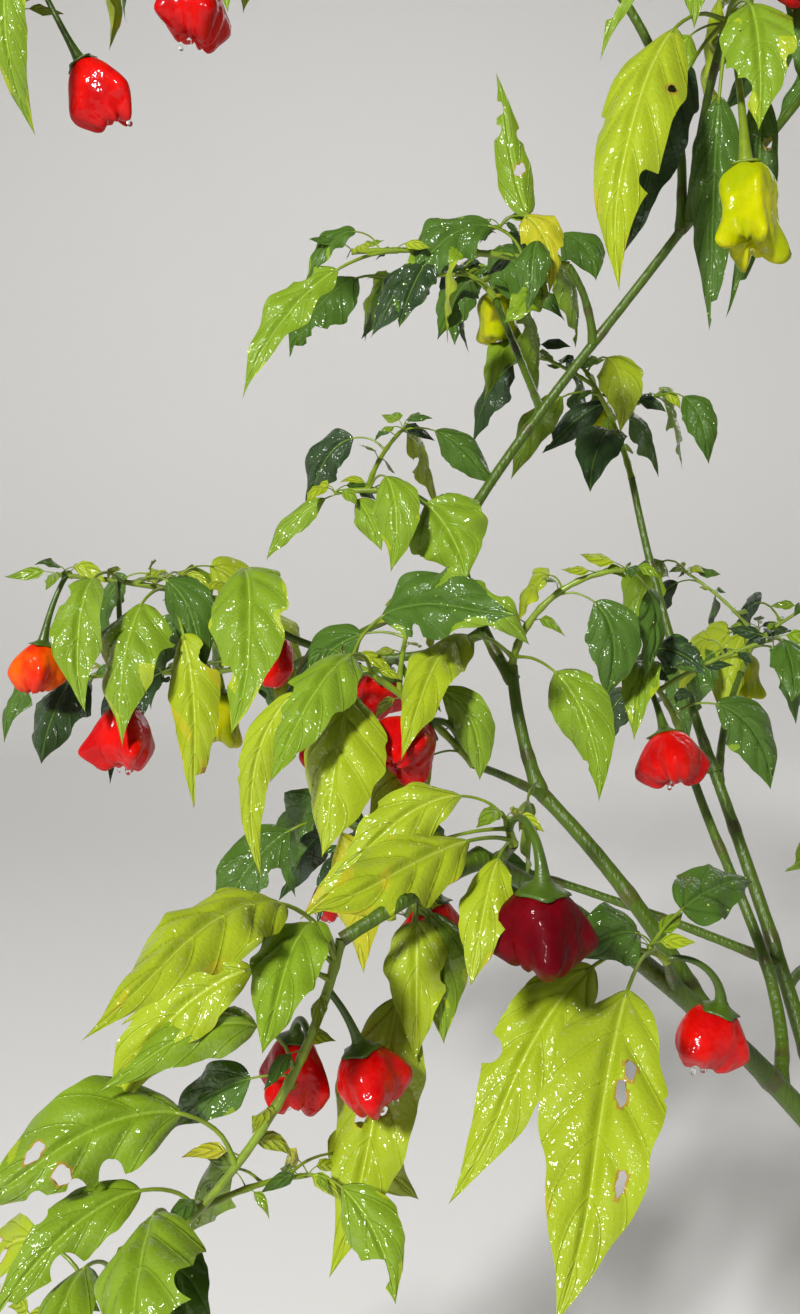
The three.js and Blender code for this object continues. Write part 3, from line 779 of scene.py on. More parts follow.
def mottle_pattern() -> bpy.types.NodeTree:
    """Uneven colour and gloss at two scales, from 0 to 1.

    Returns:
        A group with the inputs Place, Scale and Fine, and the outputs Patches and Specks.
    """
    patch_edge, speck_edge = (0.35, 0.65), (0.45, 0.7)
    p = Pattern("plant_mottle", {"Scale": 25, "Fine": 300}, ("Patches", "Specks"))
    place, scale, fine = (p.given.outputs[title] for title in ("Place", "Scale", "Fine"))
    patches = p.smooth(p.cloud(place, scale, 3), *patch_edge)
    return p.finish(Patches=patches, Specks=p.smooth(p.cloud(place, fine, 2), *speck_edge))


def film_pattern() -> bpy.types.NodeTree:
    """A film of water on a wet skin: an uneven sheet with small domes where it gathers.

    Returns:
        A group with the inputs Place and Scale, and the output Height.
    """
    damp_scale, damp_edge, widest_dome, dome_edge = 60, (0.54, 0.85), 0.42, (0.0, 0.25)
    sheet_scale, sheet_height = 130, 3.4
    p = Pattern("water_film", {"Scale": 330}, ("Height",))
    place = p.given.outputs["Place"]
    cells = p.node("ShaderNodeTexVoronoi", Vector=place, Scale=p.given.outputs["Scale"])
    size = p.math("MULTIPLY", p.smooth(p.cloud(place, damp_scale, 1), *damp_edge), widest_dome)
    domes = p.smooth(p.math("SUBTRACT", size, cells.outputs["Distance"]), *dome_edge)
    sheet = p.math("MULTIPLY", p.cloud(place, sheet_scale, 2), sheet_height)
    return p.finish(Height=p.math("ADD", domes, sheet))


def colour(red: float, green: float, blue: float) -> Colour:
    """A linear colour with full cover."""
    return (red, green, blue, 1)


def darker(shade: Colour, share: float) -> Colour:
    """The colour at a share of its brightness."""
    return colour(*(c * share for c in shade[:3]))


class Tint(Enum):
    """The leaves' colours, in slot order. The first four are painted light and shade on one leaf green, from
    sunlit to deep shade; yellow and scorched are the leaves' own. The last ones are a leaf's midrib, painted
    lit and shaded the same way, and its stalks.
    """

    # Painted light and shade: one leaf green as lit by sun, lit brightly, in mid shade and in deep shade.
    SUNLIT = colour(0.36, 0.46, 0.0)
    BRIGHT = colour(0.2, 0.33, 0.0)
    MID = colour(0.06, 0.145, 0.001)
    DEEP = colour(0.016, 0.05, 0.003)
    YELLOW = colour(0.48, 0.47, 0.004)
    SCORCHED = colour(0.4, 0.27, 0.01)
    # The midrib's green, painted lit and shaded to go with the leaf greens.
    PALE_RIB = colour(0.47, 0.55, 0.05)
    GREEN_RIB = colour(0.29, 0.43, 0.025)
    DARK_RIB = colour(0.1, 0.2, 0.012)
    STALK = colour(0.2, 0.29, 0.012)
    NODE = colour(0.07, 0.085, 0.006)
    CALYX = colour(0.06, 0.115, 0.004)


TINT_SLOT = {tint: k for k, tint in enumerate(Tint)}
STALK_TINTS = (Tint.STALK, Tint.NODE, Tint.CALYX)
LEAF_TINTS = (Tint.SUNLIT, Tint.BRIGHT, Tint.MID, Tint.DEEP, Tint.YELLOW)
TINT_OF_LETTER = {tint.name[0]: tint for tint in LEAF_TINTS}
PATCH_OF = {Tint.SUNLIT: Tint.YELLOW, Tint.BRIGHT: Tint.SUNLIT, Tint.MID: Tint.BRIGHT, Tint.DEEP: Tint.MID}
# Each leaf colour's midrib, painted lit and shaded to match it.
RIB_OF = {
    Tint.SUNLIT: Tint.PALE_RIB,
    Tint.BRIGHT: Tint.GREEN_RIB,
    Tint.MID: Tint.DARK_RIB,
    Tint.DEEP: Tint.DARK_RIB,
    Tint.YELLOW: Tint.PALE_RIB,
    Tint.SCORCHED: Tint.PALE_RIB,
}


@dataclass(frozen=True)
class Patterns:
    """The shader node groups that the finishes share, each built once."""

    veins: bpy.types.NodeTree
    mottle: bpy.types.NodeTree
    film: bpy.types.NodeTree


class Shader(NodeBoard):
    """A material with one Principled shader."""

    def __init__(self, name: str, **values: float | Colour) -> None:
        """Starts the material, with plain values on the shader's own sockets.

        Args:
            name: its name.
            values: a plain value for each socket.
        """
        self.material = bpy.data.materials.new(name)
        self.material.use_nodes = True
        super().__init__(self.material.node_tree)
        self.shader = self.tree.nodes["Principled BSDF"]
        self.feed_all(self.shader, values)

    def place(self) -> bpy.types.NodeSocket:
        """The place on the plant."""
        return self.node("ShaderNodeTexCoord").outputs["Object"]

    def bump(
        self, height: bpy.types.NodeSocket, strength: float, distance: float, coat_only: bool = False
    ) -> None:
        """Gives the shader a relief, or only its wet coat, on top of any that the coat has.

        Args:
            height: the relief.
            strength: how strong it is.
            distance: how deep it is, in metres.
            coat_only: whether only the coat has it.
        """
        made = self.node("ShaderNodeBump", Strength=strength, Distance=distance, Height=height)
        for link in self.shader.inputs["Coat Normal"].links:
            self.feed(made.inputs["Normal"], link.from_socket)
        for name in ("Coat Normal",) if coat_only else ("Normal", "Coat Normal"):
            self.feed(self.shader.inputs[name], made.outputs["Normal"])


@dataclass(frozen=True)
class LeafFinish:
    """A wet leaf of one colour, quilted between its veins, with blotches of painted shadow and a duller back.
    """

    tint: Tint
    roughness: float = 0.55
    ior: float = 1.22
    coat_roughness: float = 0.12
    coat_weights: Span = (0.2, 0.95)
    coat_scale: float = 21
    patch_scale: float = 34
    shadow_and_patch_shade: float = 0.55
    # Painted shadow: the leaf's colour is darkened to this share in blotches, standing in for shade cast by
    # other leaves.
    speck_scale: float = 520
    speck_height: float = 0.1
    dapple_scale: float = 115
    dapple_shades: Span = (0.82, 1.08)
    rib_share: float = 0.6
    back_share: float = 0.8
    back_bloom: float = 0.012
    relief: Span = (0.8, 0.0011)
    film_scale: float = 330
    film_relief: Span = (1.0, 0.0012)

    def make(self, patterns: Patterns) -> bpy.types.Material:
        """Builds the material.

        Args:
            patterns: the shared node groups.

        Returns:
            The material.
        """
        own, rib = self.tint.value, RIB_OF.get(self.tint, self.tint).value
        s = Shader(
            f"leaf_{self.tint.name.lower()}", Roughness=self.roughness, IOR=self.ior,
            Coat_Roughness=self.coat_roughness,
        )
        uv = s.node("ShaderNodeUVMap")
        uv.uv_map = "leaf"
        place = s.place()
        patches = s.group(patterns.mottle, Place=place, Scale=self.patch_scale, Fine=self.speck_scale)
        veins = s.group(patterns.veins, Place=uv.outputs["UV"])
        dapple = s.group(patterns.mottle, Place=place, Scale=self.dapple_scale)["Patches"]
        full = s.mix(dapple, *(darker(own, share) for share in self.dapple_shades))
        # Blotches of painted shadow over the leaf's colour.
        shade = s.mix(patches["Patches"], darker(own, self.shadow_and_patch_shade), full)
        pale = colour(*(c * (1 - self.rib_share) + self.rib_share * r for c, r in zip(own[:3], rib)))
        shade = s.mix(veins["Veins"], shade, pale)
        back = colour(*(c * self.back_share + self.back_bloom for c in own[:3]))
        facing = s.node("ShaderNodeNewGeometry").outputs["Backfacing"]
        s.feed(s.shader.inputs["Base Color"], s.mix(facing, shade, back))
        gloss = s.group(patterns.mottle, Place=place, Scale=self.coat_scale)["Patches"]
        least, most = self.coat_weights
        weight = s.node("ShaderNodeMapRange", Value=gloss, To_Min=least, To_Max=most)
        s.feed(s.shader.inputs["Coat Weight"], weight.outputs["Result"])
        s.bump(s.math("MULTIPLY_ADD", patches["Specks"], self.speck_height, veins["Height"]), *self.relief)
        s.bump(s.group(patterns.film, Place=place, Scale=self.film_scale)["Height"], *self.film_relief, True)
        return s.material


@dataclass(frozen=True)
class StalkFinish:
    """A smooth green stalk with faint streaks."""

    tint: Tint
    roughness: float = 0.38
    ior: float = 1.45
    coat_weight: float = 0.2
    coat_roughness: float = 0.2
    streak_scale: float = 90
    streak_shade: float = 0.72
    speck_scale: float = 900
    relief: Span = (0.25, 0.0003)

    def make(self, patterns: Patterns) -> bpy.types.Material:
        """Builds the material.

        Args:
            patterns: the shared node groups.

        Returns:
            The material.
        """
        own = self.tint.value
        s = Shader(
            f"stem_{self.tint.name.lower()}", Roughness=self.roughness, IOR=self.ior,
            Coat_Weight=self.coat_weight, Coat_Roughness=self.coat_roughness,
        )
        streaks = s.group(patterns.mottle, Place=s.place(), Scale=self.streak_scale, Fine=self.speck_scale)
        s.feed(s.shader.inputs["Base Color"], s.mix(streaks["Patches"], darker(own, self.streak_shade), own))
        s.bump(streaks["Specks"], *self.relief)
        return s.material


@dataclass(frozen=True)
class FruitFinish:
    """Waxy fruit skin, wet and glossy, with a slight flush."""

    ripeness: Ripeness
    shade: Colour
    flush: Colour
    coat_weight: float = 0.45
    roughness: float = 0.55
    ior: float = 1.12
    coat_roughness: float = 0.09
    flush_scale: float = 45
    relief: Span = (0.35, 0.003)
    film_scale: float = 300
    film_relief: Span = (0.55, 0.0009)

    def make(self, patterns: Patterns) -> bpy.types.Material:
        """Builds the material.

        Args:
            patterns: the shared node groups.

        Returns:
            The material.
        """
        s = Shader(
            f"fruit_{self.ripeness.name.lower()}", IOR=self.ior, Roughness=self.roughness,
            Coat_Weight=self.coat_weight, Coat_Roughness=self.coat_roughness,
        )
        place = s.place()
        flushed = s.group(patterns.mottle, Place=place, Scale=self.flush_scale)["Patches"]
        s.feed(s.shader.inputs["Base Color"], s.mix(flushed, self.shade, self.flush))
        s.bump(flushed, *self.relief)
        s.bump(s.group(patterns.film, Place=place, Scale=self.film_scale)["Height"], *self.film_relief, True)
        return s.material


@dataclass(frozen=True)
class BarkFinish:
    """Bark with long fissures and uneven patches."""

    name: str
    shade: Colour
    groove: Colour
    roughness: float
    ior: float = 1.45
    streak_scale: float = 420
    streak_reach: float = 0.16
    patch_scale: float = 40
    # Darker patches of the bark's own uneven colour.
    shadow_and_patch_shade: float = 0.8
    relief: Span = (0.5, 0.0006)

    def make(self, patterns: Patterns) -> bpy.types.Material:
        """Builds the material.

        Args:
            patterns: the shared node groups.

        Returns:
            The material.
        """
        s = Shader(self.name, Roughness=self.roughness, IOR=self.ior)
        place = s.place()
        drawn = s.node("ShaderNodeMapping", Vector=place, Scale=(1.0, 1.0, self.streak_reach))
        streaks = s.group(patterns.mottle, Place=drawn.outputs["Vector"], Scale=self.streak_scale)["Patches"]
        patches = s.group(patterns.mottle, Place=place, Scale=self.patch_scale)["Patches"]
        base = s.mix(streaks, self.groove, self.shade)
        s.feed(s.shader.inputs["Base Color"], s.mix(patches, base, darker(self.shade, self.shadow_and_patch_shade)))
        s.bump(streaks, *self.relief)
        return s.material


FRUIT_FINISHES = (
    FruitFinish(Ripeness.RED, colour(0.44, 0.0, 0.001), colour(0.62, 0.002, 0.0)),
    # Red painted darker as shade, with a duller coat.
    FruitFinish(Ripeness.CRIMSON, colour(0.085, 0.0, 0.003), colour(0.14, 0.0, 0.003), coat_weight=0.12),
    FruitFinish(Ripeness.ORANGE, colour(0.62, 0.018, 0.0), colour(0.75, 0.11, 0.0)),
    FruitFinish(Ripeness.GREEN, colour(0.3, 0.36, 0.0), colour(0.48, 0.48, 0.0)),
)
CALYX_SLOT = len(FRUIT_FINISHES)
PALE_STALK_SLOT = CALYX_SLOT + 1
WOODY_BARK = BarkFinish("woody_bark", colour(0.15, 0.115, 0.06), colour(0.05, 0.04, 0.022), 0.8)
GREEN_BARK = BarkFinish("green_bark", colour(0.075, 0.135, 0.003), colour(0.05, 0.092, 0.003), 0.4)


class Palette:
    """Every material of the plant, made once."""

    def __init__(self) -> None:
        """Builds the node groups and then each finish."""
        patterns = Patterns(vein_pattern(), mottle_pattern(), film_pattern())
        self.leaf = [
            (StalkFinish(tint) if tint in STALK_TINTS else LeafFinish(tint)).make(patterns) for tint in Tint
        ]
        self.fruit = [finish.make(patterns) for finish in FRUIT_FINISHES]
        self.fruit.append(self.leaf[TINT_SLOT[Tint.CALYX]])
        self.fruit.append(self.leaf[TINT_SLOT[Tint.STALK]])
        self.woody_bark = WOODY_BARK.make(patterns)
        self.green_bark = GREEN_BARK.make(patterns)
        self.node = self.leaf[TINT_SLOT[Tint.NODE]]
        self.water = Shader(
            "water_drop", Base_Color=colour(1, 1, 1), Roughness=0.0, IOR=1.33, Transmission_Weight=1.0
        ).material
        # The beads' pale green is painted light: a sunlit leaf green, brightened so that the drops show as
        # glints.
        self.bead = Shader(
            "water_bead", Base_Color=colour(0.42, 0.52, 0.12), Roughness=0.05, IOR=1.5,
            Coat_Weight=1.0, Coat_Roughness=0.02,
        ).material


@dataclass
class LeafForm:
    """One leaf's size and bend."""

    root: np.ndarray
    bearing: float
    lift: float
    hang: float
    whole: float
    width: float
    curl: float
    roll: float

    @property
    def pairs(self) -> int:
        """How many pairs of side veins it has."""
        return limited(round(self.whole / VEIN_PAIR_EVERY), 3, 6)

    def arc(self) -> Arc:
        """The leaf's path from the foot of its petiole to its tip."""
        sag = self.lift + self.hang
        return Arc(self.root, self.bearing, self.lift, self.whole, sag, self.curl, LEAF_EASE)


@dataclass(frozen=True)
class MeshGrade:
    """How finely a blade is divided: a row every so many millimetres, and columns each side of its midrib."""

    step: float
    least: int
    most: int
    half_columns: int

    def rows(self, length: float) -> int:
        """How many rows a blade of this length gets."""
        return int(limited(length / self.step, self.least, self.most))


FINE_GRADE = MeshGrade(1.25, 44, 112, 17)
COARSE_GRADE = MeshGrade(3.5, 18, 36, 7)
YOUNG_GRADE = MeshGrade(1, 6, 6, 2)


@dataclass
class Sheet:
    """A blade laid flat, a row of corners at a time: where they lie, and which are in its holes."""

    x: np.ndarray
    y: np.ndarray
    half: np.ndarray
    length: float
    gone: np.ndarray = field(init=False)

    def __post_init__(self) -> None:
        """Starts with no holes."""
        self.gone = np.zeros(self.x.shape, bool)


@dataclass
class LeafMaker:
    """Adds leaves to a store: a petiole, and a blade with its midrib, quilting, waves, bites and holes.

    A pair of numbers is the span that a size is dealt from.
    """

    store: MeshStore
    chance: Chance
    mood: Mood
    fine: bool = True
    foot_power: float = 0.6
    tip_power: float = 1.3
    beads: list[Bead] = field(default_factory=list)

    foot_powers: Span = (0.5, 0.95)
    tip_powers: Span = (1.15, 1.5)
    petiole_radius: float = 1.05
    petiole_scales: Span = (0.4, 1.25)
    petiole_foot: float = 0.6
    petiole_thinning: float = 0.3
    petiole_into_blade: float = 0.03
    full_leaf: float = 110
    young_leaf: float = 45
    row_bunching: float = 0.93
    midrib_width: float = 0.6
    thinnest: float = 0.02

    bitten_from: float = 70
    much_bitten_from: float = 75
    many_bites: Span = (0, 5.2)
    few_bites: Span = (0, 1.8)
    bite_places: Span = (0.15, 0.95)
    bite_sizes: Span = (1.6, 7.5)
    bite_depths: Span = (0.6, 1.3)
    ripples: Span = (0.02, 0.06)
    ripple_beats: Span = (9, 15)
    fine_ripple: float = 0.014
    ripples_a_beat: Span = (2, 4.3)
    left_by_bites: float = 0.6

    pierced_from: float = 100
    pierced_share: float = 0.22
    holes: Span = (1, 4)
    hole_places: Span = (0.2, 0.7)
    hole_spread: float = 0.55
    hole_off_midrib: float = 3
    hole_raggedness: Span = (0.22, 0.12)
    hole_sizes: tuple[Span, ...] = ((1.8, 3.6), (2.5, 5.5))
    hole_inside: float = 0.85
    hole_allowance: float = 1.4

    hooks: Span = (-0.05, 0.05)
    flicks: Span = (-0.04, 0.05)
    tail_from: float = 0.62
    folds: Span = (-0.32, 0.25)
    droops: Span = (-0.4, -0.04)
    waves: Span = (0.1, 0.28)
    wave_counts: Span = (1.8, 3.2)
    wave_leans: Span = (0.5, 2.6)
    quilt: float = 0.19
    channel: float = -0.05
    channel_width: float = 0.1

    bead_counts: Span = (0, 6)
    bead_sizes: Span = (0.4, 0.8)
    bead_rows: int = 40
    patched_share: float = 0.65
    patch_edges: Span = (0.85, 1.5)
    patch_by_cloud: float = 0.45
    patch_by_margin: float = 0.55
    patch_by_tip: float = 0.75
    scorched_within: float = 0.42

    def tint(self) -> Tint:
        """A leaf colour dealt by the spray's mood.

        Returns:
            The colour.
        """
        drawn, total = self.chance.next(), 0.0
        for tint, share in zip(LEAF_TINTS, self.mood.value):
            total += share
            if drawn < total:
                return tint
        return Tint.MID

    def outline(self, along: np.ndarray) -> np.ndarray:
        """The blade's half-width: a wedge or round foot and a long drawn-out tip.

        Args:
            along: shares of its length.

        Returns:
            Shares of its greatest half-width.
        """
        widest = self.foot_power / (self.foot_power + self.tip_power)
        peak = widest**self.foot_power * (1 - widest) ** self.tip_power
        along = np.clip(along, 0, 1)
        return np.power(along, self.foot_power) * np.power(1 - along, self.tip_power) / peak

    def add(self, form: LeafForm, letter: str = "") -> None:
        """Adds one leaf.

        Args:
            form: its size and bend.
            letter: its tint's letter, or none for a tint that is dealt.
        """
        arc = form.arc()
        self.foot_power = self.chance.between(*self.foot_powers)
        self.tip_power = self.chance.between(*self.tip_powers)
        self.add_petiole(arc, form)
        self.add_blade(arc, form, TINT_OF_LETTER[letter] if letter else self.tint())

    def add_petiole(self, arc: Arc, form: LeafForm) -> None:
        """Adds the petiole, thicker at its foot, to a little way into the blade.

        Args:
            arc: the leaf's path.
            form: its size.
        """
        radius = self.petiole_radius * limited(form.whole / self.full_leaf, *self.petiole_scales)
        stations, sides = (9, 6) if self.fine else (5, 4)
        shares = np.linspace(0, 1, stations)
        radii = radius * (1 + self.petiole_foot * np.exp(-shares * 14) - self.petiole_thinning * shares)
        tube(self.store, arc, radii, sides, TINT_SLOT[Tint.STALK], PETIOLE_SHARE + self.petiole_into_blade)

    def add_blade(self, arc: Arc, form: LeafForm, tint: Tint) -> None:
        """Adds the blade as a sheet of rows across the midrib, with its bites and holes cut.

        Args:
            arc: the leaf's path.
            form: its size.
            tint: its colour.
        """
        grade = YOUNG_GRADE if form.whole < self.young_leaf else FINE_GRADE if self.fine else COARSE_GRADE
        wide = form.width / 2
        sheet = self.lay_flat(form, grade)
        if form.whole > self.bitten_from:
            self.bite(sheet)
        if self.fine and form.whole > self.pierced_from and self.chance.next() < self.pierced_share:
            self.pierce(sheet, wide)
        s = sheet.y / sheet.length
        t = sheet.x / np.maximum(wide * self.outline(s), self.thinnest)
        inner = np.clip(t, -1, 1)
        corners = self.surface(arc, form, s, inner, sheet.x)
        slots = self.blade_slots(s, t, tint)
        slots[:, grade.half_columns - 1] = TINT_SLOT[RIB_OF[tint]]
        self.keep_faces(corners, np.stack([(inner + 1) / 2, s * form.pairs], axis=2), slots, sheet.gone)

    def lay_flat(self, form: LeafForm, grade: MeshGrade) -> Sheet:
        """Lays out the blade's corners in rows, with the midrib as a column of its own.

        Args:
            form: the leaf's size.
            grade: how finely it is divided.

        Returns:
            The flat blade.
        """
        length = form.whole * (1 - PETIOLE_SHARE)
        along = np.linspace(0, 1, grade.rows(length) + 1) ** self.row_bunching
        half = np.maximum(form.width / 2 * self.outline(along), self.thinnest)
        rib = self.midrib_width * min(1, form.whole / self.full_leaf) * (1.15 - along)
        rib = np.minimum(rib, half * 0.5)
        right = rib[:, None] + (half - rib)[:, None] * np.linspace(0, 1, grade.half_columns)[None]
        x = np.concatenate([-right[:, ::-1], right], axis=1)
        return Sheet(x, np.repeat(along[:, None] * length, x.shape[1], axis=1), half, length)

    def bite(self, sheet: Sheet) -> None:
        """Draws the margin in along uneven notches and a few rounded bites.

        Args:
            sheet: the flat blade, which is changed.
        """
        chance, y, half = self.chance, sheet.y[:, 0], sheet.half
        ripple, phase, beat = chance.deal((self.ripples, (0, FULL_WAVE), self.ripple_beats))
        bites = self.many_bites if sheet.length > self.much_bitten_from else self.few_bites
        cuts = []
        for _ in range(chance.count(bites)):
            place = chance.between(*self.bite_places) * sheet.length
            size, depth = chance.between(*self.bite_sizes), chance.between(*self.bite_depths)
            cuts.append((place, size, depth, 1 if chance.next() < 0.5 else -1))
        limit = {}
        wide, close = self.ripples_a_beat
        for side in (-1, 1):
            coarse = 1 + np.sin(y / sheet.length * beat * wide + phase + side)
            fine = 1 + np.sin(y / sheet.length * beat * close + phase * side)
            limit[side] = half * (1 - ripple * coarse - self.fine_ripple * fine)
        for place, size, depth, side in cuts:
            inside = np.clip(1 - ((y - place) / size) ** 2, 0, 1)
            edge = np.interp(place, y, half) - depth * size * np.sqrt(inside)
            limit[side] = np.minimum(limit[side], np.where(inside > 0, edge, np.inf))
        low, high = (np.maximum(limit[side], self.left_by_bites)[:, None] for side in (-1, 1))
        sheet.x = np.clip(sheet.x, -low, high)

    def pierce(self, sheet: Sheet, wide: float) -> None:
        """Opens a few ragged oval holes, with the corners in each pushed out to its edge.

        Args:
            sheet: the flat blade, which is changed.
            wide: its greatest half-width.
        """
        for _ in range(self.chance.count(self.holes)):
            place = self.chance.between(*self.hole_places) * sheet.length
            local = wide * float(self.outline(np.array(place / sheet.length)))
            across = self.chance.about(self.hole_spread) * local
            across += math.copysign(self.hole_off_midrib, across)
            reach_x, reach_y = self.chance.deal(self.hole_sizes)
            if abs(across) + self.hole_allowance * reach_x > self.hole_inside * local:
                continue
            gap_x, gap_y = (sheet.x - across) / reach_x, (sheet.y - place) / reach_y
            angle = np.arctan2(gap_y, gap_x)
            broad, close = self.hole_raggedness
            ragged = 1 + broad * np.sin(2 * angle + place) + close * np.sin(5 * angle + across)
            far = np.sqrt(gap_x**2 + gap_y**2) / ragged
            push = np.where(far < 1, 1 / np.maximum(far, 0.05), 1)
            sheet.x, sheet.y = across + gap_x * push * reach_x, place + gap_y * push * reach_y
            sheet.gone |= far < 1

    def surface(self, arc: Arc, form: LeafForm, s: np.ndarray, t: np.ndarray, x: np.ndarray) -> np.ndarray:
        """Places the corners of the blade in space.

        Args:
            arc: the leaf's path.
            form: its size and bend.
            s: shares of the blade's length.
            t: shares of its half-width.
            x: distances from its midrib, in millimetres.

        Returns:
            The corners' points.
        """
        share = PETIOLE_SHARE + (1 - PETIOLE_SHARE) * s.ravel()
        centres = arc.smooth(share).reshape(*s.shape, 3)
        _, across, over = (d.reshape(*s.shape, 3) for d in arc.frame(share))
        roll = np.radians(roll_to_light(arc) + form.roll * s)[..., None]
        side = across * np.cos(roll) + over * np.sin(roll)
        up = over * np.cos(roll) - across * np.sin(roll)
        tail = np.clip((s - self.tail_from) / (1 - self.tail_from), 0, 1)[..., None] ** 2
        hook, flick = (bend * form.whole for bend in self.chance.deal((self.hooks, self.flicks)))
        middle = centres + hook * tail * side + flick * tail * up
        corners = middle + side * x[..., None] + up * self.relief(s, t, form)[..., None]
        self.deal_beads(corners, up)
        return corners

    def relief(self, s: np.ndarray, t: np.ndarray, form: LeafForm) -> np.ndarray:
        """How far the blade stands over its middle line: a fold, a droop, waves, quilting and a channel.

        Args:
            s: shares of the blade's length.
            t: shares of its half-width.
            form: its size.

        Returns:
            Heights in millimetres.
        """
        spans = (self.folds, self.droops, self.waves, self.wave_counts, (0, FULL_WAVE), self.wave_leans)
        fold, droop, wave, count, start, lean = self.chance.deal(spans)
        size = np.abs(t)
        ripple = np.sin(math.tau * count * s + start + np.sign(t) * lean)
        swell = np.abs(np.sin(math.pi * (s * form.pairs - VEIN_SLANT * np.power(size, VEIN_BOW))))
        quilt = self.quilt * np.power(swell, 0.6) * np.clip(size * 5, 0, 1) * (1 - 0.7 * size**2)
        channel = self.channel * np.exp(-((size / self.channel_width) ** 2))
        height = fold * size + droop * size**2 + wave * ripple * size**1.7 + quilt + channel
        return form.width / 2 * self.outline(s) * height

    def deal_beads(self, corners: np.ndarray, up: np.ndarray) -> None:
        """Notes where beads of water sit on the blade of a leaf that shows well.

        Args:
            corners: the blade's points.
            up: its upward directions.
        """
        rows, columns = corners.shape[:2]
        if not self.fine or rows < self.bead_rows:
            return
        for _ in range(self.chance.count(self.bead_counts)):
            at = (self.chance.count((4, rows - 6)), self.chance.count((1, columns - 1)))
            self.beads.append((corners[at], up[at], self.chance.between(*self.bead_sizes)))

    def blade_slots(self, s: np.ndarray, t: np.ndarray, tint: Tint) -> np.ndarray:
        """The material slot of each face: the blade, and any yellowed tip, margin or patch.

        Args:
            s: shares of the blade's length.
            t: shares of its half-width.
            tint: the blade's colour.

        Returns:
            The slots, a row of faces at a time.
        """
        patch = PATCH_OF.get(tint, Tint.YELLOW)
        mid_s, mid_t = (s[1:, 1:] + s[:-1, 1:]) / 2, (t[:, 1:] + t[:, :-1])[:-1] / 2
        slots = np.full(mid_s.shape, TINT_SLOT[tint])
        phase = self.chance.phase()
        if not self.fine or self.chance.next() >= self.patched_share:
            return slots
        edge = self.chance.between(*self.patch_edges)
        cloud = np.sin(mid_s * 11 + phase) * np.cos(mid_t * 2.6 + phase * 2)
        cloud += 0.5 * np.sin(mid_s * 23 - mid_t * 5)
        spread = cloud * self.patch_by_cloud + mid_t**2 * self.patch_by_margin + mid_s * self.patch_by_tip
        slots[spread > edge] = TINT_SLOT[patch]
        if patch is Tint.YELLOW:
            slots[spread > edge + self.scorched_within] = TINT_SLOT[Tint.SCORCHED]
        return slots

    def keep_faces(
        self, corners: np.ndarray, places: np.ndarray, slots: np.ndarray, gone: np.ndarray
    ) -> None:
        """Adds the blade's faces, apart from those in a hole or drawn in to nothing by a bite.

        Args:
            corners: the blade's points.
            places: their UV places.
            slots: the material slot of each face.
            gone: which corners are in a hole.
        """
        faces = grid_faces(*corners.shape[:2], False)
        flat = corners.reshape(-1, 3)
        a, b, c, d = (flat[faces[:, k]] for k in range(4))
        area = np.linalg.norm(np.cross(c - a, d - b), axis=1)
        open_corners = gone.reshape(-1)[faces]
        kept = ~open_corners.all(axis=1) & (area > 1e-4)
        slots = np.where(open_corners.any(axis=1), TINT_SLOT[Tint.SCORCHED], slots.reshape(-1))
        self.store.add(flat, faces[kept], slots[kept], places.reshape(-1, 2))


@dataclass(frozen=True)
class Hanging:
    """A fruit's pedicel, and the top of the fruit with its directions."""

    arc: Arc
    top: np.ndarray
    axis: np.ndarray
    side: np.ndarray
    front: np.ndarray


def hang_fruit(root: np.ndarray, row: Row) -> Hanging:
    """Works out how a fruit hangs.

    Args:
        root: where the pedicel leaves its stem.
        row: share, bearing, lift, hang, pedicel length, fruit width and height.

    Returns:
        Its pedicel, top and directions.
    """
    _, bearing, lift, hang, length, _, _ = row
    arc = Arc(root, bearing, lift, length, lift + hang)
    along, across, _ = arc.frame(np.array([1.0]))
    axis, side = along[0], across[0]
    return Hanging(arc, arc.points[-1] - axis * PEDICEL_SUNK, axis, side, -np.cross(side, axis))


# A ripe, a winged and an unripe fruit from calyx to navel: radius, depth and lobing, as shares.
RIPE_PROFILE = np.array([
    (0.0, 0.07, 0), (0.2, 0.03, 0), (0.42, 0.03, 0.01), (0.62, 0.08, 0.04), (0.8, 0.18, 0.09),
    (0.93, 0.31, 0.14), (1.0, 0.45, 0.18), (0.99, 0.58, 0.18), (0.92, 0.71, 0.15), (0.82, 0.82, 0.12),
    (0.68, 0.9, 0.1), (0.5, 0.93, 0.08), (0.31, 0.9, 0.05), (0.14, 0.85, 0.02), (0.0, 0.83, 0),
])
WINGED_PROFILE = np.array([
    (0.0, 0.07, 0), (0.2, 0.03, 0), (0.38, 0.03, 0.01), (0.54, 0.1, 0.04), (0.68, 0.2, 0.08),
    (0.82, 0.32, 0.14), (0.95, 0.46, 0.2), (1.03, 0.6, 0.24), (0.95, 0.71, 0.2), (0.78, 0.82, 0.14),
    (0.63, 0.9, 0.12), (0.47, 0.94, 0.1), (0.31, 0.91, 0.05), (0.14, 0.86, 0.02), (0.0, 0.84, 0),
])
YOUNG_PROFILE = np.array([
    (0.0, 0.03, 0), (0.24, 0.01, 0.02), (0.5, 0.04, 0.06), (0.7, 0.1, 0.1), (0.8, 0.2, 0.12),
    (0.82, 0.32, 0.1), (0.78, 0.46, 0.08), (0.78, 0.6, 0.12), (0.86, 0.73, 0.2), (0.88, 0.84, 0.26),
    (0.74, 0.93, 0.24), (0.54, 0.95, 0.16), (0.34, 0.92, 0.08), (0.15, 0.88, 0.02), (0.0, 0.87, 0),
])
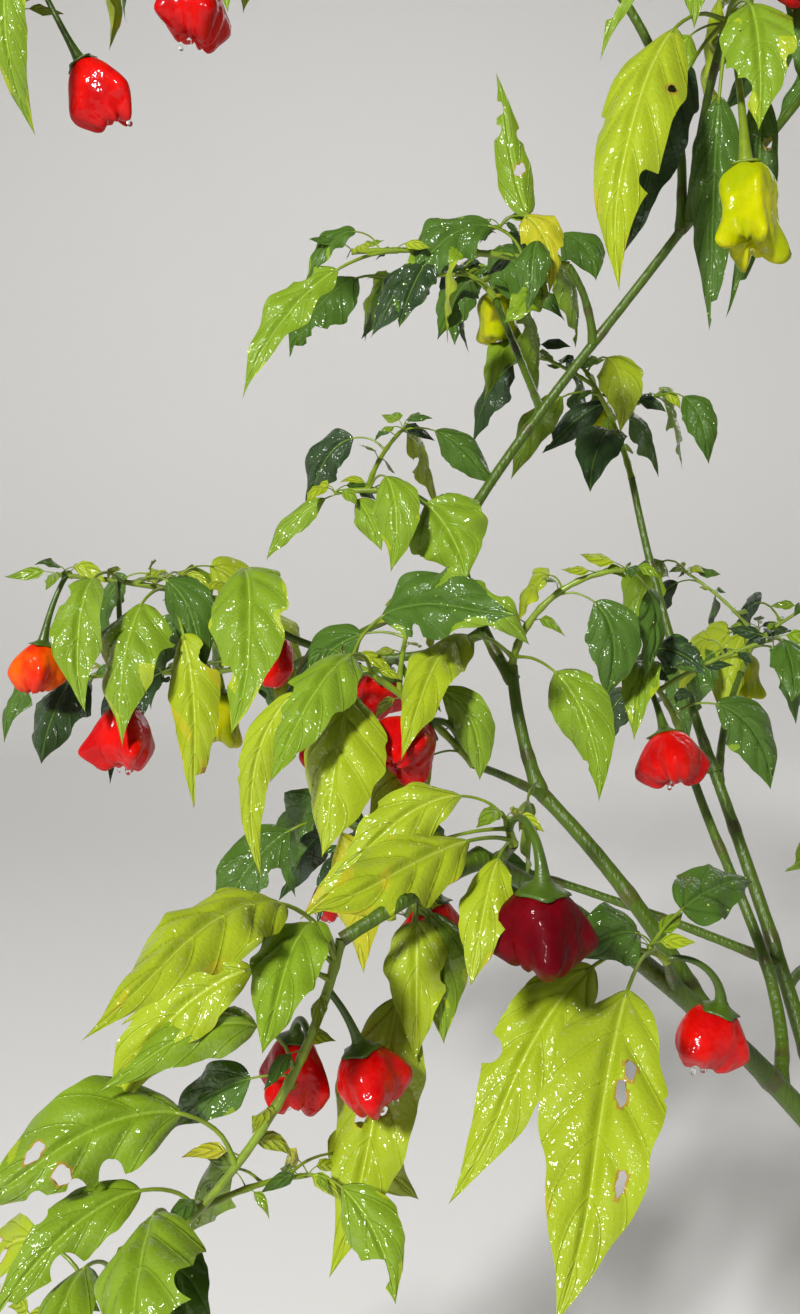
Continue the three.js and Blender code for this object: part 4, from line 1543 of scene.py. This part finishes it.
# The calyx from the pedicel out and in under: reach and depth as shares of the fruit's width, and teeth.
CALYX_RINGS = (
    (0.08, -0.1, 0), (0.11, -0.06, 0), (0.16, -0.02, 0),
    (0.21, 0.005, 0.05), (0.25, 0.03, 0.25), (0.2, 0.04, 0.2),
)


@dataclass
class FruitMaker:
    """Adds fruit to a store: a hooked pedicel, a calyx, and a squat lobed bell.

    A lobed fruit bulges past its stated width, so it is made slimmer.
    """

    store: MeshStore
    chance: Chance
    segments: int = 48
    rings: int = 34
    slimmer: float = 0.91
    least_wings: float = 0.45
    three_lobed_share: float = 0.4
    lobe_depths: Span = (1.0, 1.6)
    lobe_drop: float = 0.26
    dent_size: float = 13
    dent_depth: float = 0.045
    lobe_shape: Span = (0.8, 0.28)
    puckers: Span = (0.055, 0.035)
    pucker_drop: float = 0.6
    unevenness: tuple[float, float, float] = (0.045, 0.03, 0.02)
    tilt: float = 0.07
    calyx_sides: int = 30
    calyx_teeth: int = 5
    tooth_sharpness: int = 3
    tooth_depth: float = 0.03
    pedicel_radius: float = 1.45
    pedicel_foot: float = 0.7
    pedicel_widening: float = 0.75
    pedicel_cap: float = 0.07
    pedicel_sides: int = 12
    pedicel_stations: int = 21

    def add(self, root: np.ndarray, row: Row, ripeness: Ripeness) -> np.ndarray:
        """Adds one fruit with its pedicel and calyx.

        Args:
            root: where the pedicel leaves its stem.
            row: share, bearing, lift, hang, pedicel length, fruit width and height.
            ripeness: the fruit's colour.

        Returns:
            The fruit's lowest point.
        """
        hung = hang_fruit(root, row)
        width, height = row[-2:]
        cap = PALE_STALK_SLOT if ripeness is Ripeness.GREEN else CALYX_SLOT
        self.add_pedicel(hung.arc, width, cap)
        self.add_calyx(hung, width, cap)
        self.add_bell(hung, width, height, ripeness)
        return hung.top + hung.axis * height

    def add_pedicel(self, arc: Arc, width: float, slot: int) -> None:
        """Adds the hooked pedicel, which widens into the calyx.

        Args:
            arc: its path.
            width: the fruit's width.
            slot: its material slot.
        """
        shares = np.linspace(0, 1, self.pedicel_stations)
        foot, cap = self.pedicel_foot * np.exp(-shares * 18), width * self.pedicel_cap * np.power(shares, 7)
        radii = self.pedicel_radius + self.pedicel_widening * shares + foot + cap
        tube(self.store, arc, radii, self.pedicel_sides, slot)

    def add_calyx(self, hung: Hanging, width: float, slot: int) -> None:
        """Adds the green cap with its five small teeth.

        Args:
            hung: how the fruit hangs.
            width: the fruit's width.
            slot: the cap's material slot.
        """
        turn = full_turn(self.calyx_sides)
        wave = np.abs(np.cos(self.calyx_teeth / 2 * turn + self.chance.between(0, 3)))
        spikes = np.power(wave, self.tooth_sharpness)[:, None]
        out = around(turn, hung.front, hung.side)
        corners = np.stack([
            hung.top + hung.axis * width * (depth + self.tooth_depth * tooth * spikes)
            + out * width * reach * (1 + tooth * (spikes - 0.3))
            for reach, depth, tooth in CALYX_RINGS
        ])
        self.store.add_rings(corners, slot, turn, np.arange(len(corners)) * 0.1)

    def profile(self, ripeness: Ripeness) -> np.ndarray:
        """The fruit's profile, more or less winged where it is ripe.

        Args:
            ripeness: the fruit's colour.

        Returns:
            A ring a row: radius, depth and lobing.
        """
        wings = self.chance.between(self.least_wings, 1)
        ripe = RIPE_PROFILE * (1 - wings) + WINGED_PROFILE * wings
        rows = YOUNG_PROFILE if ripeness is Ripeness.GREEN else ripe
        return spline(rows, np.linspace(0, len(rows) - 1, self.rings))

    def add_bell(self, hung: Hanging, width: float, height: float, ripeness: Ripeness) -> None:
        """Adds the fruit's body: rounded shoulders, and a broad ruffled skirt pinched in under it.

        Args:
            hung: how the fruit hangs.
            width: its width.
            height: its height.
            ripeness: its colour.
        """
        radius, depth, lobing = (column[:, None] for column in self.profile(ripeness).T)
        turn = full_turn(self.segments)[None]
        lobes = 3 if self.chance.next() < self.three_lobed_share else 4
        start, other, deep = self.chance.phase(), self.chance.phase(), self.chance.between(*self.lobe_depths)
        swing = lobes * turn + start + 0.5 * np.sin(turn + other)
        once_round, twice_round = self.lobe_shape
        lobe = deep * lobing * (once_round * np.cos(swing) + twice_round * np.cos(2 * swing))
        low = np.clip(depth * 1.7 - 0.7, 0, 1)
        broad, close = self.puckers
        pucker = broad * np.sin((2 * lobes + 1) * turn + other)
        pucker += close * np.sin((3 * lobes + 1) * turn + start)
        lean, squeeze, swell = self.unevenness
        uneven = lean * np.sin(turn + other) + squeeze * np.sin(2 * turn + start) + swell
        reach = self.slimmer * width / 2 * np.maximum(radius, 0) * (1 + lobe + uneven + pucker * low)
        tilt = self.tilt * low * np.sin(turn + start)
        drop = height * (depth + self.lobe_drop * lobe + tilt + self.pucker_drop * pucker * low)
        spread = around(turn, hung.front, hung.side)
        corners = hung.top + hung.axis * drop[..., None] + spread * reach[..., None]
        dents = np.array([noise.noise(Vector(corner / self.dent_size)) for corner in corners.reshape(-1, 3)])
        corners = corners + spread * (dents.reshape(reach.shape) * self.dent_depth * reach)[..., None]
        self.store.add_rings(corners, ripeness.value, turn / math.pi, depth)


def near_tree(points: np.ndarray) -> KDTree:
    """Points that can be looked up by nearness.

    Args:
        points: a point a row.

    Returns:
        The tree, with each point under its row's number.
    """
    tree = KDTree(len(points))
    for k, point in enumerate(points):
        tree.insert(point, k)
    tree.balance()
    return tree


class SolidCorners:
    """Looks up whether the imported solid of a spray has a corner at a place."""

    def __init__(self, node: bpy.types.Object, reach: float = 0.06) -> None:
        """Gathers the node's corners.

        Args:
            node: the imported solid.
            reach: how near a corner counts, in millimetres.
        """
        self.reach = reach
        corners = np.zeros(len(node.data.vertices) * 3)
        node.data.vertices.foreach_get("co", corners)
        self.tree = near_tree(corners.reshape(-1, 3) / MM)

    def has(self, point: np.ndarray) -> bool:
        """Whether a corner lies at the point."""
        return self.tree.find(point)[2] < self.reach


@dataclass
class Growth:
    """What a spray has grown: its stem, its twigs, its leaves and its fruit."""

    stem: Arc
    twigs: list[Arc] = field(default_factory=list)
    leaves: list[LeafForm] = field(default_factory=list)
    fruit: list[tuple[np.ndarray, Row]] = field(default_factory=list)


@dataclass
class Grower:
    """Grows a spray by the solids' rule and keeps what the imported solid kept.

    The spans that sizes are dealt from are in the rule's order: a dealt leaf's lift, hang, whole
    length, width by length, curl, roll and swing, and a dealt fruit's row. Places are a first share
    of the stem or twig and how far they reach on from it, or by how much each one is further.
    """

    spray: Spray
    start: np.ndarray
    solid: SolidCorners
    leaf_spans: tuple[Span, ...] = (
        (15, 60), (50, 95), (0.78, 1.2), (0.38, 0.52), (-20, 20), (-20, 20), (-30, 30),
    )
    fruit_spans: tuple[Span, ...] = ((0.3, 0.9), (0, 360), (10, 60), (75, 105), (38, 56), (33, 41), (30, 40))
    most_roll: float = 20
    jitter: float = 20
    dealt_leaf_places: Span = (0.15, 0.85)
    twig_places: Span = (0.3, 0.6)
    twig_leaf_places: Span = (0.6, 0.19)
    twig_swings: Span = (25, 70)
    twig_lengths: Span = (48, 82)
    twig_rises: Span = (5, 55)
    twig_fans: Span = (60, 100)
    twig_sag: float = 15
    twig_turn: float = 20
    twig_tip: float = 1.3
    twig_leaves: int = 3
    rim_share: float = 0.6
    rim_depth: float = 0.98
    rim_lobe: float = 0.16
    rim_drop: float = 0.5
    rim_sides: int = 8
    rim_lobes: int = 4
    rim_corners_needed: int = 2

    def __post_init__(self) -> None:
        """Starts the spray's chances, and its stem at its bough's tip."""
        self.chance = Chance(self.spray.seed)
        self.growth = Growth(Arc(self.start, *self.spray.course))

    def grow(self) -> Growth:
        """Deals everything in the rule's order.

        Returns:
            What the spray has grown.
        """
        spray, stem = self.spray, self.growth.stem
        for row in spray.leaves:
            self.keep_leaf(LeafForm(stem.point(row[0]), *row[1:], self.chance.about(self.most_roll)))
        for row in spray.fruit:
            self.keep_fruit(row)
        for _ in range(spray.dealt_fruit):
            self.deal_fruit()
        first, reach = self.twig_places
        for k in range(spray.twigs):
            self.deal_twig(stem.point(first + reach * (k + 0.5) / spray.twigs), 1 if k % 2 else -1)
        first, reach = self.dealt_leaf_places
        for k in range(spray.dealt):
            bearing = spray.course[0] + LEAF_DIVERGENCE * (k + 1) + self.chance.about(self.jitter)
            self.deal_leaf(stem, first + reach * (k + 0.5) / spray.dealt, bearing)
        return self.growth

    def keep_leaf(self, form: LeafForm) -> bool:
        """Keeps a leaf whose tip the solid has.

        Args:
            form: the leaf.

        Returns:
            Whether it was kept.
        """
        found = self.solid.has(form.arc().points[-1])
        if found:
            self.growth.leaves.append(form)
        return found

    def keep_fruit(self, row: Row) -> bool:
        """Keeps a fruit whose lowest rim the solid has corners of.

        Args:
            row: the fruit's row.

        Returns:
            Whether it was kept.
        """
        root = self.growth.stem.point(row[0])
        hung = hang_fruit(root, row)
        width, height = row[-2:]
        found = 0
        for angle in full_turn(self.rim_sides):
            lobe = self.rim_lobe * math.cos(self.rim_lobes * angle)
            out = around(angle, hung.front, hung.side) * width / 2 * self.rim_share * (1 + lobe)
            down = hung.axis * height * (self.rim_depth + lobe * self.rim_drop)
            found += self.solid.has(hung.top + down + out)
        if found >= self.rim_corners_needed:
            self.growth.fruit.append((root, row))
        return found >= self.rim_corners_needed

    def deal_fruit(self) -> None:
        """Deals a fruit until one is in the solid."""
        for _ in range(TRIES):
            if self.keep_fruit(self.chance.deal(self.fruit_spans)):
                return

    def deal_leaf(self, arc: Arc, share: float, bearing: float) -> None:
        """Deals a leaf until one is in the solid.

        Args:
            arc: the stem or twig that carries it.
            share: where on it.
            bearing: the leaf's bearing, before any swing.
        """
        for k in range(TRIES):
            lift, hang, whole, ratio, curl, roll, swing = self.chance.deal(self.leaf_spans)
            whole *= self.spray.size
            width = whole * (1 - PETIOLE_SHARE) * ratio
            form = LeafForm(arc.point(share), bearing + k * swing, lift, hang, whole, width, curl, roll)
            if self.keep_leaf(form):
                return

    def deal_twig(self, root: np.ndarray, side: int) -> None:
        """Deals a twig until one is in the solid, and then its leaves.

        Args:
            root: where it leaves the stem.
            side: the side it leaves on, 1 or -1.
        """
        for _ in range(TRIES):
            bearing = self.spray.twig_bearing + side * self.chance.between(*self.twig_swings)
            length, rise = self.chance.deal((self.twig_lengths, self.twig_rises))
            twig = Arc(root, bearing, rise, length, self.twig_sag, side * self.twig_turn)
            if not self.has_twig(twig):
                continue
            self.growth.twigs.append(twig)
            for n in range(self.twig_leaves):
                fanned = bearing + (n - 1) * side * self.chance.between(*self.twig_fans)
                self.deal_leaf(twig, self.twig_leaf_places[0] + self.twig_leaf_places[1] * n, fanned)
            return

    def has_twig(self, twig: Arc) -> bool:
        """Whether the solid has a corner of the twig's end.

        Args:
            twig: the twig.

        Returns:
            Whether it has.
        """
        _, across, over = twig.frame(np.array([1.0]))
        ends = twig.points[-1] + self.twig_tip * around(full_turn(3), -over[0], across[0])
        return any(self.solid.has(end) for end in ends)


@dataclass
class SprayBuilder:
    """Builds one spray's leaves, twigs and fruit from what it has grown."""

    spray: Spray
    growth: Growth
    palette: Palette
    shoot_every: float = 26
    shoot_leaves: int = 2
    tip_leaves: int = 4
    tip_share: float = 0.99
    tip_from: float = 0.95
    young_spans: tuple[Span, ...] = ((16, 34), (20, 70), (-10, 60), (0.24, 0.34), (-20, 20), (-20, 20))
    stem_radii: Span = (2.3, 1.4)
    twig_radii: Span = (1.6, 1.1)
    station_every: float = 4
    stem_sides: int = 10
    node_swelling: float = 0.22
    node_sharpness: int = 16
    red_below: float = 0.6
    green_below: float = 0.82

    def __post_init__(self) -> None:
        """Starts the stores and a row of chances of the spray's own."""
        self.chance = Chance(self.spray.seed + LOOKS_SEED)
        first = self.spray.name.removesuffix("_spray")
        self.leaves = MeshStore(f"{first}_leaves")
        self.twigs = MeshStore(f"{first}_twigs")
        self.fruit = MeshStore(f"{first}_fruit")
        self.maker = LeafMaker(self.leaves, self.chance, self.spray.mood)
        self.bottoms: list[np.ndarray] = []

    def build(self) -> int:
        """Makes the pieces, which ride on the plant and stand for the spray's solid.

        Returns:
            How many pieces there are.
        """
        shown = bool(self.spray.leaves)
        for k, form in enumerate(self.growth.leaves):
            self.maker.fine = shown
            self.maker.add(form, self.spray.tints[k : k + 1])
        self.maker.fine = False
        self.add_stems()
        self.add_young_shoots()
        self.add_fruit()
        made = [self.leaves.build(self.palette.leaf), self.twigs.build(self.palette.leaf)]
        if self.fruit.count:
            made.append(self.fruit.build(self.palette.fruit))
        for piece in made:
            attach(piece, "root")
            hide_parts(self.spray.name)
        return len(made)

    def add_stems(self) -> None:
        """Adds the stem and twigs, swollen where leaves leave them."""
        twigs = ((twig, self.twig_radii) for twig in self.growth.twigs)
        for arc, (foot, tip) in [(self.growth.stem, self.stem_radii), *twigs]:
            shares = np.linspace(0, 1, max(10, int(arc.length / self.station_every)))
            nodes = np.cos(shares * arc.length / self.shoot_every * math.tau) ** self.node_sharpness
            radii = (foot + (tip - foot) * shares) * (1 + self.node_swelling * nodes)
            tube(self.twigs, arc, radii, self.stem_sides, TINT_SLOT[Tint.STALK])

    def add_young_shoots(self) -> None:
        """Adds clusters of small young leaves along the stems and at their tips."""
        for arc in [self.growth.stem, *self.growth.twigs]:
            shares = np.arange(self.shoot_every, arc.length, self.shoot_every) / arc.length
            for share in [*shares, self.tip_share]:
                count = self.tip_leaves if share > self.tip_from else self.shoot_leaves
                spin = self.chance.between(0, 360)
                for k in range(count):
                    self.add_young_leaf(arc.point(share), arc.bearing + spin + 360 / count * k)

    def add_young_leaf(self, root: np.ndarray, bearing: float) -> None:
        """Adds one small young leaf.

        Args:
            root: where it leaves its stem.
            bearing: its bearing.
        """
        whole, lift, hang, ratio, curl, roll = self.chance.deal(self.young_spans)
        self.maker.add(LeafForm(root, bearing, lift, hang, whole, whole * ratio, curl, roll))

    def add_fruit(self) -> None:
        """Adds the fruit in their colours, and notes their lowest points."""
        maker = FruitMaker(self.fruit, self.chance)
        given = self.spray.ripeness
        for k, (root, row) in enumerate(self.growth.fruit):
            ripeness = given[k] if k < len(given) else self.deal_ripeness(k < len(self.spray.fruit))
            self.bottoms.append(maker.add(root, row, ripeness))

    def deal_ripeness(self, shown: bool) -> Ripeness:
        """Red where the fruit shows, and a mixture elsewhere.

        Args:
            shown: whether the fruit shows.

        Returns:
            Its colour.
        """
        drawn = self.chance.next()
        if shown or drawn < self.red_below:
            return Ripeness.RED
        return Ripeness.GREEN if drawn < self.green_below else Ripeness.ORANGE


@dataclass(frozen=True)
class Relief:
    """A bark's ridges: their depth, how close and how short they are, and how finely the limb is rounded."""

    depth: float
    across: float
    along: float
    facets: int


WOODY_RELIEF = Relief(0.5, 0.5, 0.06, 10)
GREEN_RELIEF = Relief(0.16, 0.22, 0.05, 6)
# The noise for ridges: how fast finer ones fade, how much finer each layer is, the layers and its middle.
RIDGE_FADE, RIDGE_STEP, RIDGE_LAYERS, RIDGE_MIDDLE = 0.9, 2.1, 4, 0.1


@dataclass
class LimbBuilder:
    """Builds the main stem or a bough with its bark's relief."""

    name: str
    arc: Arc
    foot: float
    tip: float
    woody: bool
    palette: Palette
    ring_step: float = 3
    collar: float = 0.4
    collar_reach: float = 6
    node_every: float = 62
    node_shift: float = 14
    node_swelling: float = 0.13
    node_sharpness: int = 40
    node_coloured_from: float = 0.5
    places_along: int = 300

    def radius(self, share: np.ndarray) -> np.ndarray:
        """The limb's radius: its taper, a collar at its foot and swollen nodes.

        Args:
            share: shares of its length.

        Returns:
            The radius at each.
        """
        past_foot = np.maximum(share * self.arc.length - self.foot, 0)
        collar = 0 if self.woody else self.collar * np.exp(-past_foot / self.collar_reach)
        plain = self.foot + (self.tip - self.foot) * share
        return plain * (1 + collar + self.node_swelling * self.node_swell(share))

    def build(self) -> None:
        """Sweeps the limb as a curve, makes it a mesh, and cuts the relief of its bark."""
        relief = WOODY_RELIEF if self.woody else GREEN_RELIEF
        piece = self.sweep_curve(relief.facets)
        self.carve(piece, relief)
        if self.woody:
            self.cut_at_ground()
        piece.data.materials.append(self.palette.woody_bark if self.woody else self.palette.green_bark)
        piece.data.materials.append(self.palette.node)
        if not self.woody:
            self.mark_nodes(piece)
        bpy.ops.object.shade_smooth()
        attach(piece, "root")
        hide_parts(self.name)
        LOG.info("%s", self.name)

    def sweep_curve(self, facets: int) -> bpy.types.Object:
        """Makes the limb as a curve with a radius at each point, and turns it into a mesh.

        Args:
            facets: how finely it is rounded.

        Returns:
            The limb.
        """
        shares = np.linspace(0, 1, max(12, int(self.arc.length / self.ring_step)))
        points = self.arc.smooth(shares) * MM
        if self.woody:
            points[0] -= points[1] - points[0]
        curve = bpy.data.curves.new(f"{self.name}_bark", "CURVE")
        curve.dimensions = "3D"
        curve.bevel_depth = MM
        curve.bevel_resolution = facets
        curve.use_fill_caps = True
        stations = curve.splines.new("POLY").points
        stations.add(len(shares) - 1)
        for station, place, radius in zip(stations, points, self.radius(shares)):
            station.co = (*place, 1)
            station.radius = radius
        piece = add_object(curve.name, curve)
        bpy.ops.object.select_all(action="DESELECT")
        piece.select_set(True)
        bpy.context.view_layer.objects.active = piece
        bpy.ops.object.convert(target="MESH")
        return bpy.context.view_layer.objects.active

    def carve(self, piece: bpy.types.Object, relief: Relief) -> None:
        """Moves the surface in and out: long ridges, and the root flare on the main stem.

        Args:
            piece: the limb.
            relief: its ridges.
        """
        stem = MainStem()
        spacing = (relief.across, relief.across, relief.along)
        for vertex in piece.data.vertices:
            place, out = np.array(vertex.co) / MM, np.array(vertex.normal)
            ridges = noise.fractal(Vector(place * spacing), RIDGE_FADE, RIDGE_STEP, RIDGE_LAYERS)
            move = relief.depth * (ridges - RIDGE_MIDDLE)
            if self.woody:
                out[2] = 0
                flare = stem.flare * math.exp(-max(place[2], 0) / stem.flare_height)
                angle = math.atan2(place[1], place[0])
                move += flare * (1 + stem.ridge_depth * math.cos(stem.root_ridges * angle))
            vertex.co = Vector((place + out * move) * MM)
        piece.data.update()

    def cut_at_ground(self) -> None:
        """Cuts the main stem, which is selected, flat at the ground."""
        bpy.ops.object.mode_set(mode="EDIT")
        bpy.ops.mesh.select_all(action="SELECT")
        bpy.ops.mesh.bisect(plane_co=(0, 0, 0), plane_no=(0, 0, 1), use_fill=True, clear_inner=True)
        bpy.ops.object.mode_set(mode="OBJECT")

    def mark_nodes(self, piece: bpy.types.Object) -> None:
        """Gives the swollen nodes of a green limb their brownish finish.

        Args:
            piece: the limb.
        """
        shares = np.linspace(0, 1, self.places_along)
        line = near_tree(self.arc.smooth(shares) * MM)
        for face in piece.data.polygons:
            share = shares[line.find(face.center)[1]]
            face.material_index = int(self.node_swell(share) > self.node_coloured_from)

    def node_swell(self, share: np.ndarray) -> np.ndarray:
        """How far a place on the limb is in a node.

        Args:
            share: shares of its length.

        Returns:
            Numbers from 0 to 1.
        """
        reach = share * self.arc.length + self.node_every / 2
        wave = (reach + self.node_shift * np.sin(reach / self.node_every)) / self.node_every
        return np.cos(wave * math.pi) ** self.node_sharpness


@dataclass
class WaterDrops:
    """Drops that hang under the fruit, and beads that sit on the leaves."""

    bottoms: list[np.ndarray]
    beads: list[Bead]
    palette: Palette
    chance: Chance = field(default_factory=lambda: Chance(7))
    drops_a_fruit: Span = (1, 4)
    gap_spans: tuple[Span, ...] = ((-8, 8), (-8, 8), (0, 1))
    drop_sizes: Span = (1.1, 2.0)
    drop_stretch: float = 1.25
    bead_stretch: float = 0.5
    slanted: tuple[float, float, float] = (0.3, 0.9, 0.1)
    rings: int = 5
    sides: int = 8

    def build(self) -> None:
        """Makes the hanging drops as one piece and the beads as another."""
        drops, beads = MeshStore("water_drops"), MeshStore("water_beads")
        for bottom in self.bottoms:
            for _ in range(self.chance.count(self.drops_a_fruit)):
                centre = bottom + np.array(self.chance.deal(self.gap_spans))
                size = self.chance.between(*self.drop_sizes)
                self.add_drop(drops, (centre, np.array([0, 0, 1.0]), size), self.drop_stretch)
        for bead in self.beads:
            self.add_drop(beads, bead, self.bead_stretch)
        for piece in (drops.build([self.palette.water]), beads.build([self.palette.bead])):
            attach(piece, "root")
            LOG.info("%s", piece.name)

    def add_drop(self, store: MeshStore, drop: Bead, stretch: float) -> None:
        """Adds one drop: a ball that is stretched or flattened along its upward direction.

        Args:
            store: where it goes.
            drop: its centre, its upward direction and its radius.
            stretch: its half-height by its radius.
        """
        centre, up, size = drop
        side = np.cross(up, self.slanted)
        side = side / np.linalg.norm(side)
        ring = around(full_turn(self.sides), side, np.cross(up, side))
        polar = np.linspace(math.pi, 0, self.rings + 1)[:, None, None]
        corners = centre + ring[None] * (np.sin(polar) * size) + up * (np.cos(polar) * size * stretch)
        store.add_rings(corners, 0, np.zeros(self.sides), np.zeros(self.rings + 1))


@dataclass(frozen=True)
class Lamp:
    """A square soft light: its place, what it faces, its size, power and spread."""

    name: str
    place: Vector
    aim: Vector
    size: float
    power: float
    spread: float

    def add(self) -> None:
        """Adds the light, unseen by the camera."""
        data = bpy.data.lights.new(self.name, "AREA")
        data.size = self.size
        data.energy = self.power
        data.spread = math.radians(self.spread)
        light = add_object(self.name, data)
        light.location = self.place
        light.rotation_euler = (self.place - self.aim).to_track_quat("Z", "Y").to_euler()
        light.visible_camera = False


PLANT_MIDDLE = Vector((-0.28, 0, 0.598))
WALL_MIDDLE = Vector((-0.4, 4.1, 1.7))
LAMPS = (
    Lamp("key_light", Vector((-1.45, -2.52, 2.2)), PLANT_MIDDLE, 0.36, 76, 140),
    Lamp("back_light", Vector((1.3, 2.6, 1.9)), PLANT_MIDDLE, 1.4, 14, 180),
    Lamp("wall_light", Vector((-0.2, 1.7, 2.3)), WALL_MIDDLE, 1.4, 7, 130),
)


@dataclass(frozen=True)
class Studio:
    """The camera at the photograph's place, a pale floor that sweeps up into a wall, and soft lights."""

    distance: float = 0.7
    pitch: float = 6
    frame_height: float = 1314
    focal: float = 1248.6
    sensor: float = 36
    nearest: float = 0.01
    floor_radius: float = 3.1
    floor_bend: float = 1.0
    wall_height: float = 3.6
    floor_sides: int = 72
    bend_steps: int = 10
    floor_drop: float = 0.0005
    sky_strength: float = 0.12

    def build(self) -> None:
        """Sets up the whole studio."""
        self.add_camera()
        self.add_floor()
        for lamp in LAMPS:
            lamp.add()
        world = bpy.data.worlds.new("pale_world")
        world.use_nodes = True
        background = world.node_tree.nodes["Background"]
        background.inputs["Color"].default_value = colour(1.0, 0.99, 0.96)
        background.inputs["Strength"].default_value = self.sky_strength
        bpy.context.scene.world = world
        bpy.context.scene.view_settings.view_transform = "Standard"

    def add_camera(self) -> None:
        """Places the camera square to the plant, looking slightly down."""
        data = bpy.data.cameras.new("camera")
        data.sensor_width = self.sensor
        data.lens = self.focal / self.frame_height * self.sensor
        data.clip_start = self.nearest
        camera = add_object("camera", data)
        pitch = math.radians(self.pitch)
        camera.location = PLANT_MIDDLE - self.distance * Vector((0, math.cos(pitch), -math.sin(pitch)))
        camera.rotation_euler = (math.pi / 2 - pitch, 0, 0)
        bpy.context.scene.camera = camera

    def add_floor(self) -> None:
        """Adds the pale round floor with its wall."""
        bend = self.floor_bend
        turn = np.linspace(-math.pi / 2, 0, self.bend_steps)
        line = [(self.floor_radius + bend * math.cos(a), bend + bend * math.sin(a)) for a in turn]
        line.append((self.floor_radius + bend, self.wall_height))
        corners = [
            (r * math.cos(a), r * math.sin(a), z - self.floor_drop)
            for r, z in line
            for a in full_turn(self.floor_sides)
        ]
        walls = grid_faces(len(line), self.floor_sides, True)[:, [0, 3, 2, 1]]
        mesh = bpy.data.meshes.new("floor")
        mesh.from_pydata(corners, [], [list(range(self.floor_sides)), *walls.tolist()])
        mesh.shade_smooth()
        pale = Shader("pale_floor", Base_Color=colour(0.88, 0.87, 0.85), Roughness=0.9)
        mesh.materials.append(pale.material)
        add_object("floor", mesh)


class ChilliPlant:
    """The whole plant: limbs, sprays and drops."""

    def __init__(self, nodes: dict[str, bpy.types.Object], palette: Palette) -> None:
        """Works out each limb's arc from its parent's.

        Args:
            nodes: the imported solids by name.
            palette: the plant's materials.
        """
        self.nodes = nodes
        self.palette = palette
        self.stem = MainStem()
        self.limbs = {
            "main_stem": Arc(np.zeros(3), self.stem.bearing, self.stem.rise, self.stem.length, self.stem.sag)
        }
        for bough in BOUGHS:
            self.limbs[bough.name] = Arc(self.limbs[bough.parent].point(bough.at), *bough.course)

    def build(self) -> None:
        """Builds every piece and reports it."""
        self.build_limb("main_stem", self.stem.foot, self.stem.tip, True)
        for bough in BOUGHS:
            self.build_limb(bough.name, bough.foot, bough.tip, False)
        bottoms: list[np.ndarray] = []
        beads: list[Bead] = []
        for spray in SPRAYS:
            start = self.limbs[spray.on].points[-1]
            growth = Grower(spray, start, SolidCorners(self.nodes[spray.name])).grow()
            builder = SprayBuilder(spray, growth, self.palette)
            counts = (len(growth.leaves), len(growth.twigs), len(growth.fruit), builder.build())
            LOG.info("%s: %d leaves, %d twigs, %d fruit in %d pieces", spray.name, *counts)
            bottoms += builder.bottoms
            beads += builder.maker.beads
        WaterDrops(bottoms, beads, self.palette).build()

    def build_limb(self, name: str, foot: float, tip: float, woody: bool) -> None:
        """Builds one limb.

        Args:
            name: its name.
            foot: its radius at its foot.
            tip: its radius at its tip.
            woody: whether it is woody.
        """
        LimbBuilder(name, self.limbs[name], foot, tip, woody, self.palette).build()


def main() -> None:
    """Loads the solids, dresses the plant and sets up the studio."""
    logging.basicConfig(level=logging.INFO, format="%(message)s")
    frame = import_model()
    palette = Palette()
    Studio().build()
    ChilliPlant(frame["nodes"], palette).build()


if __name__ == "__main__":
    main()
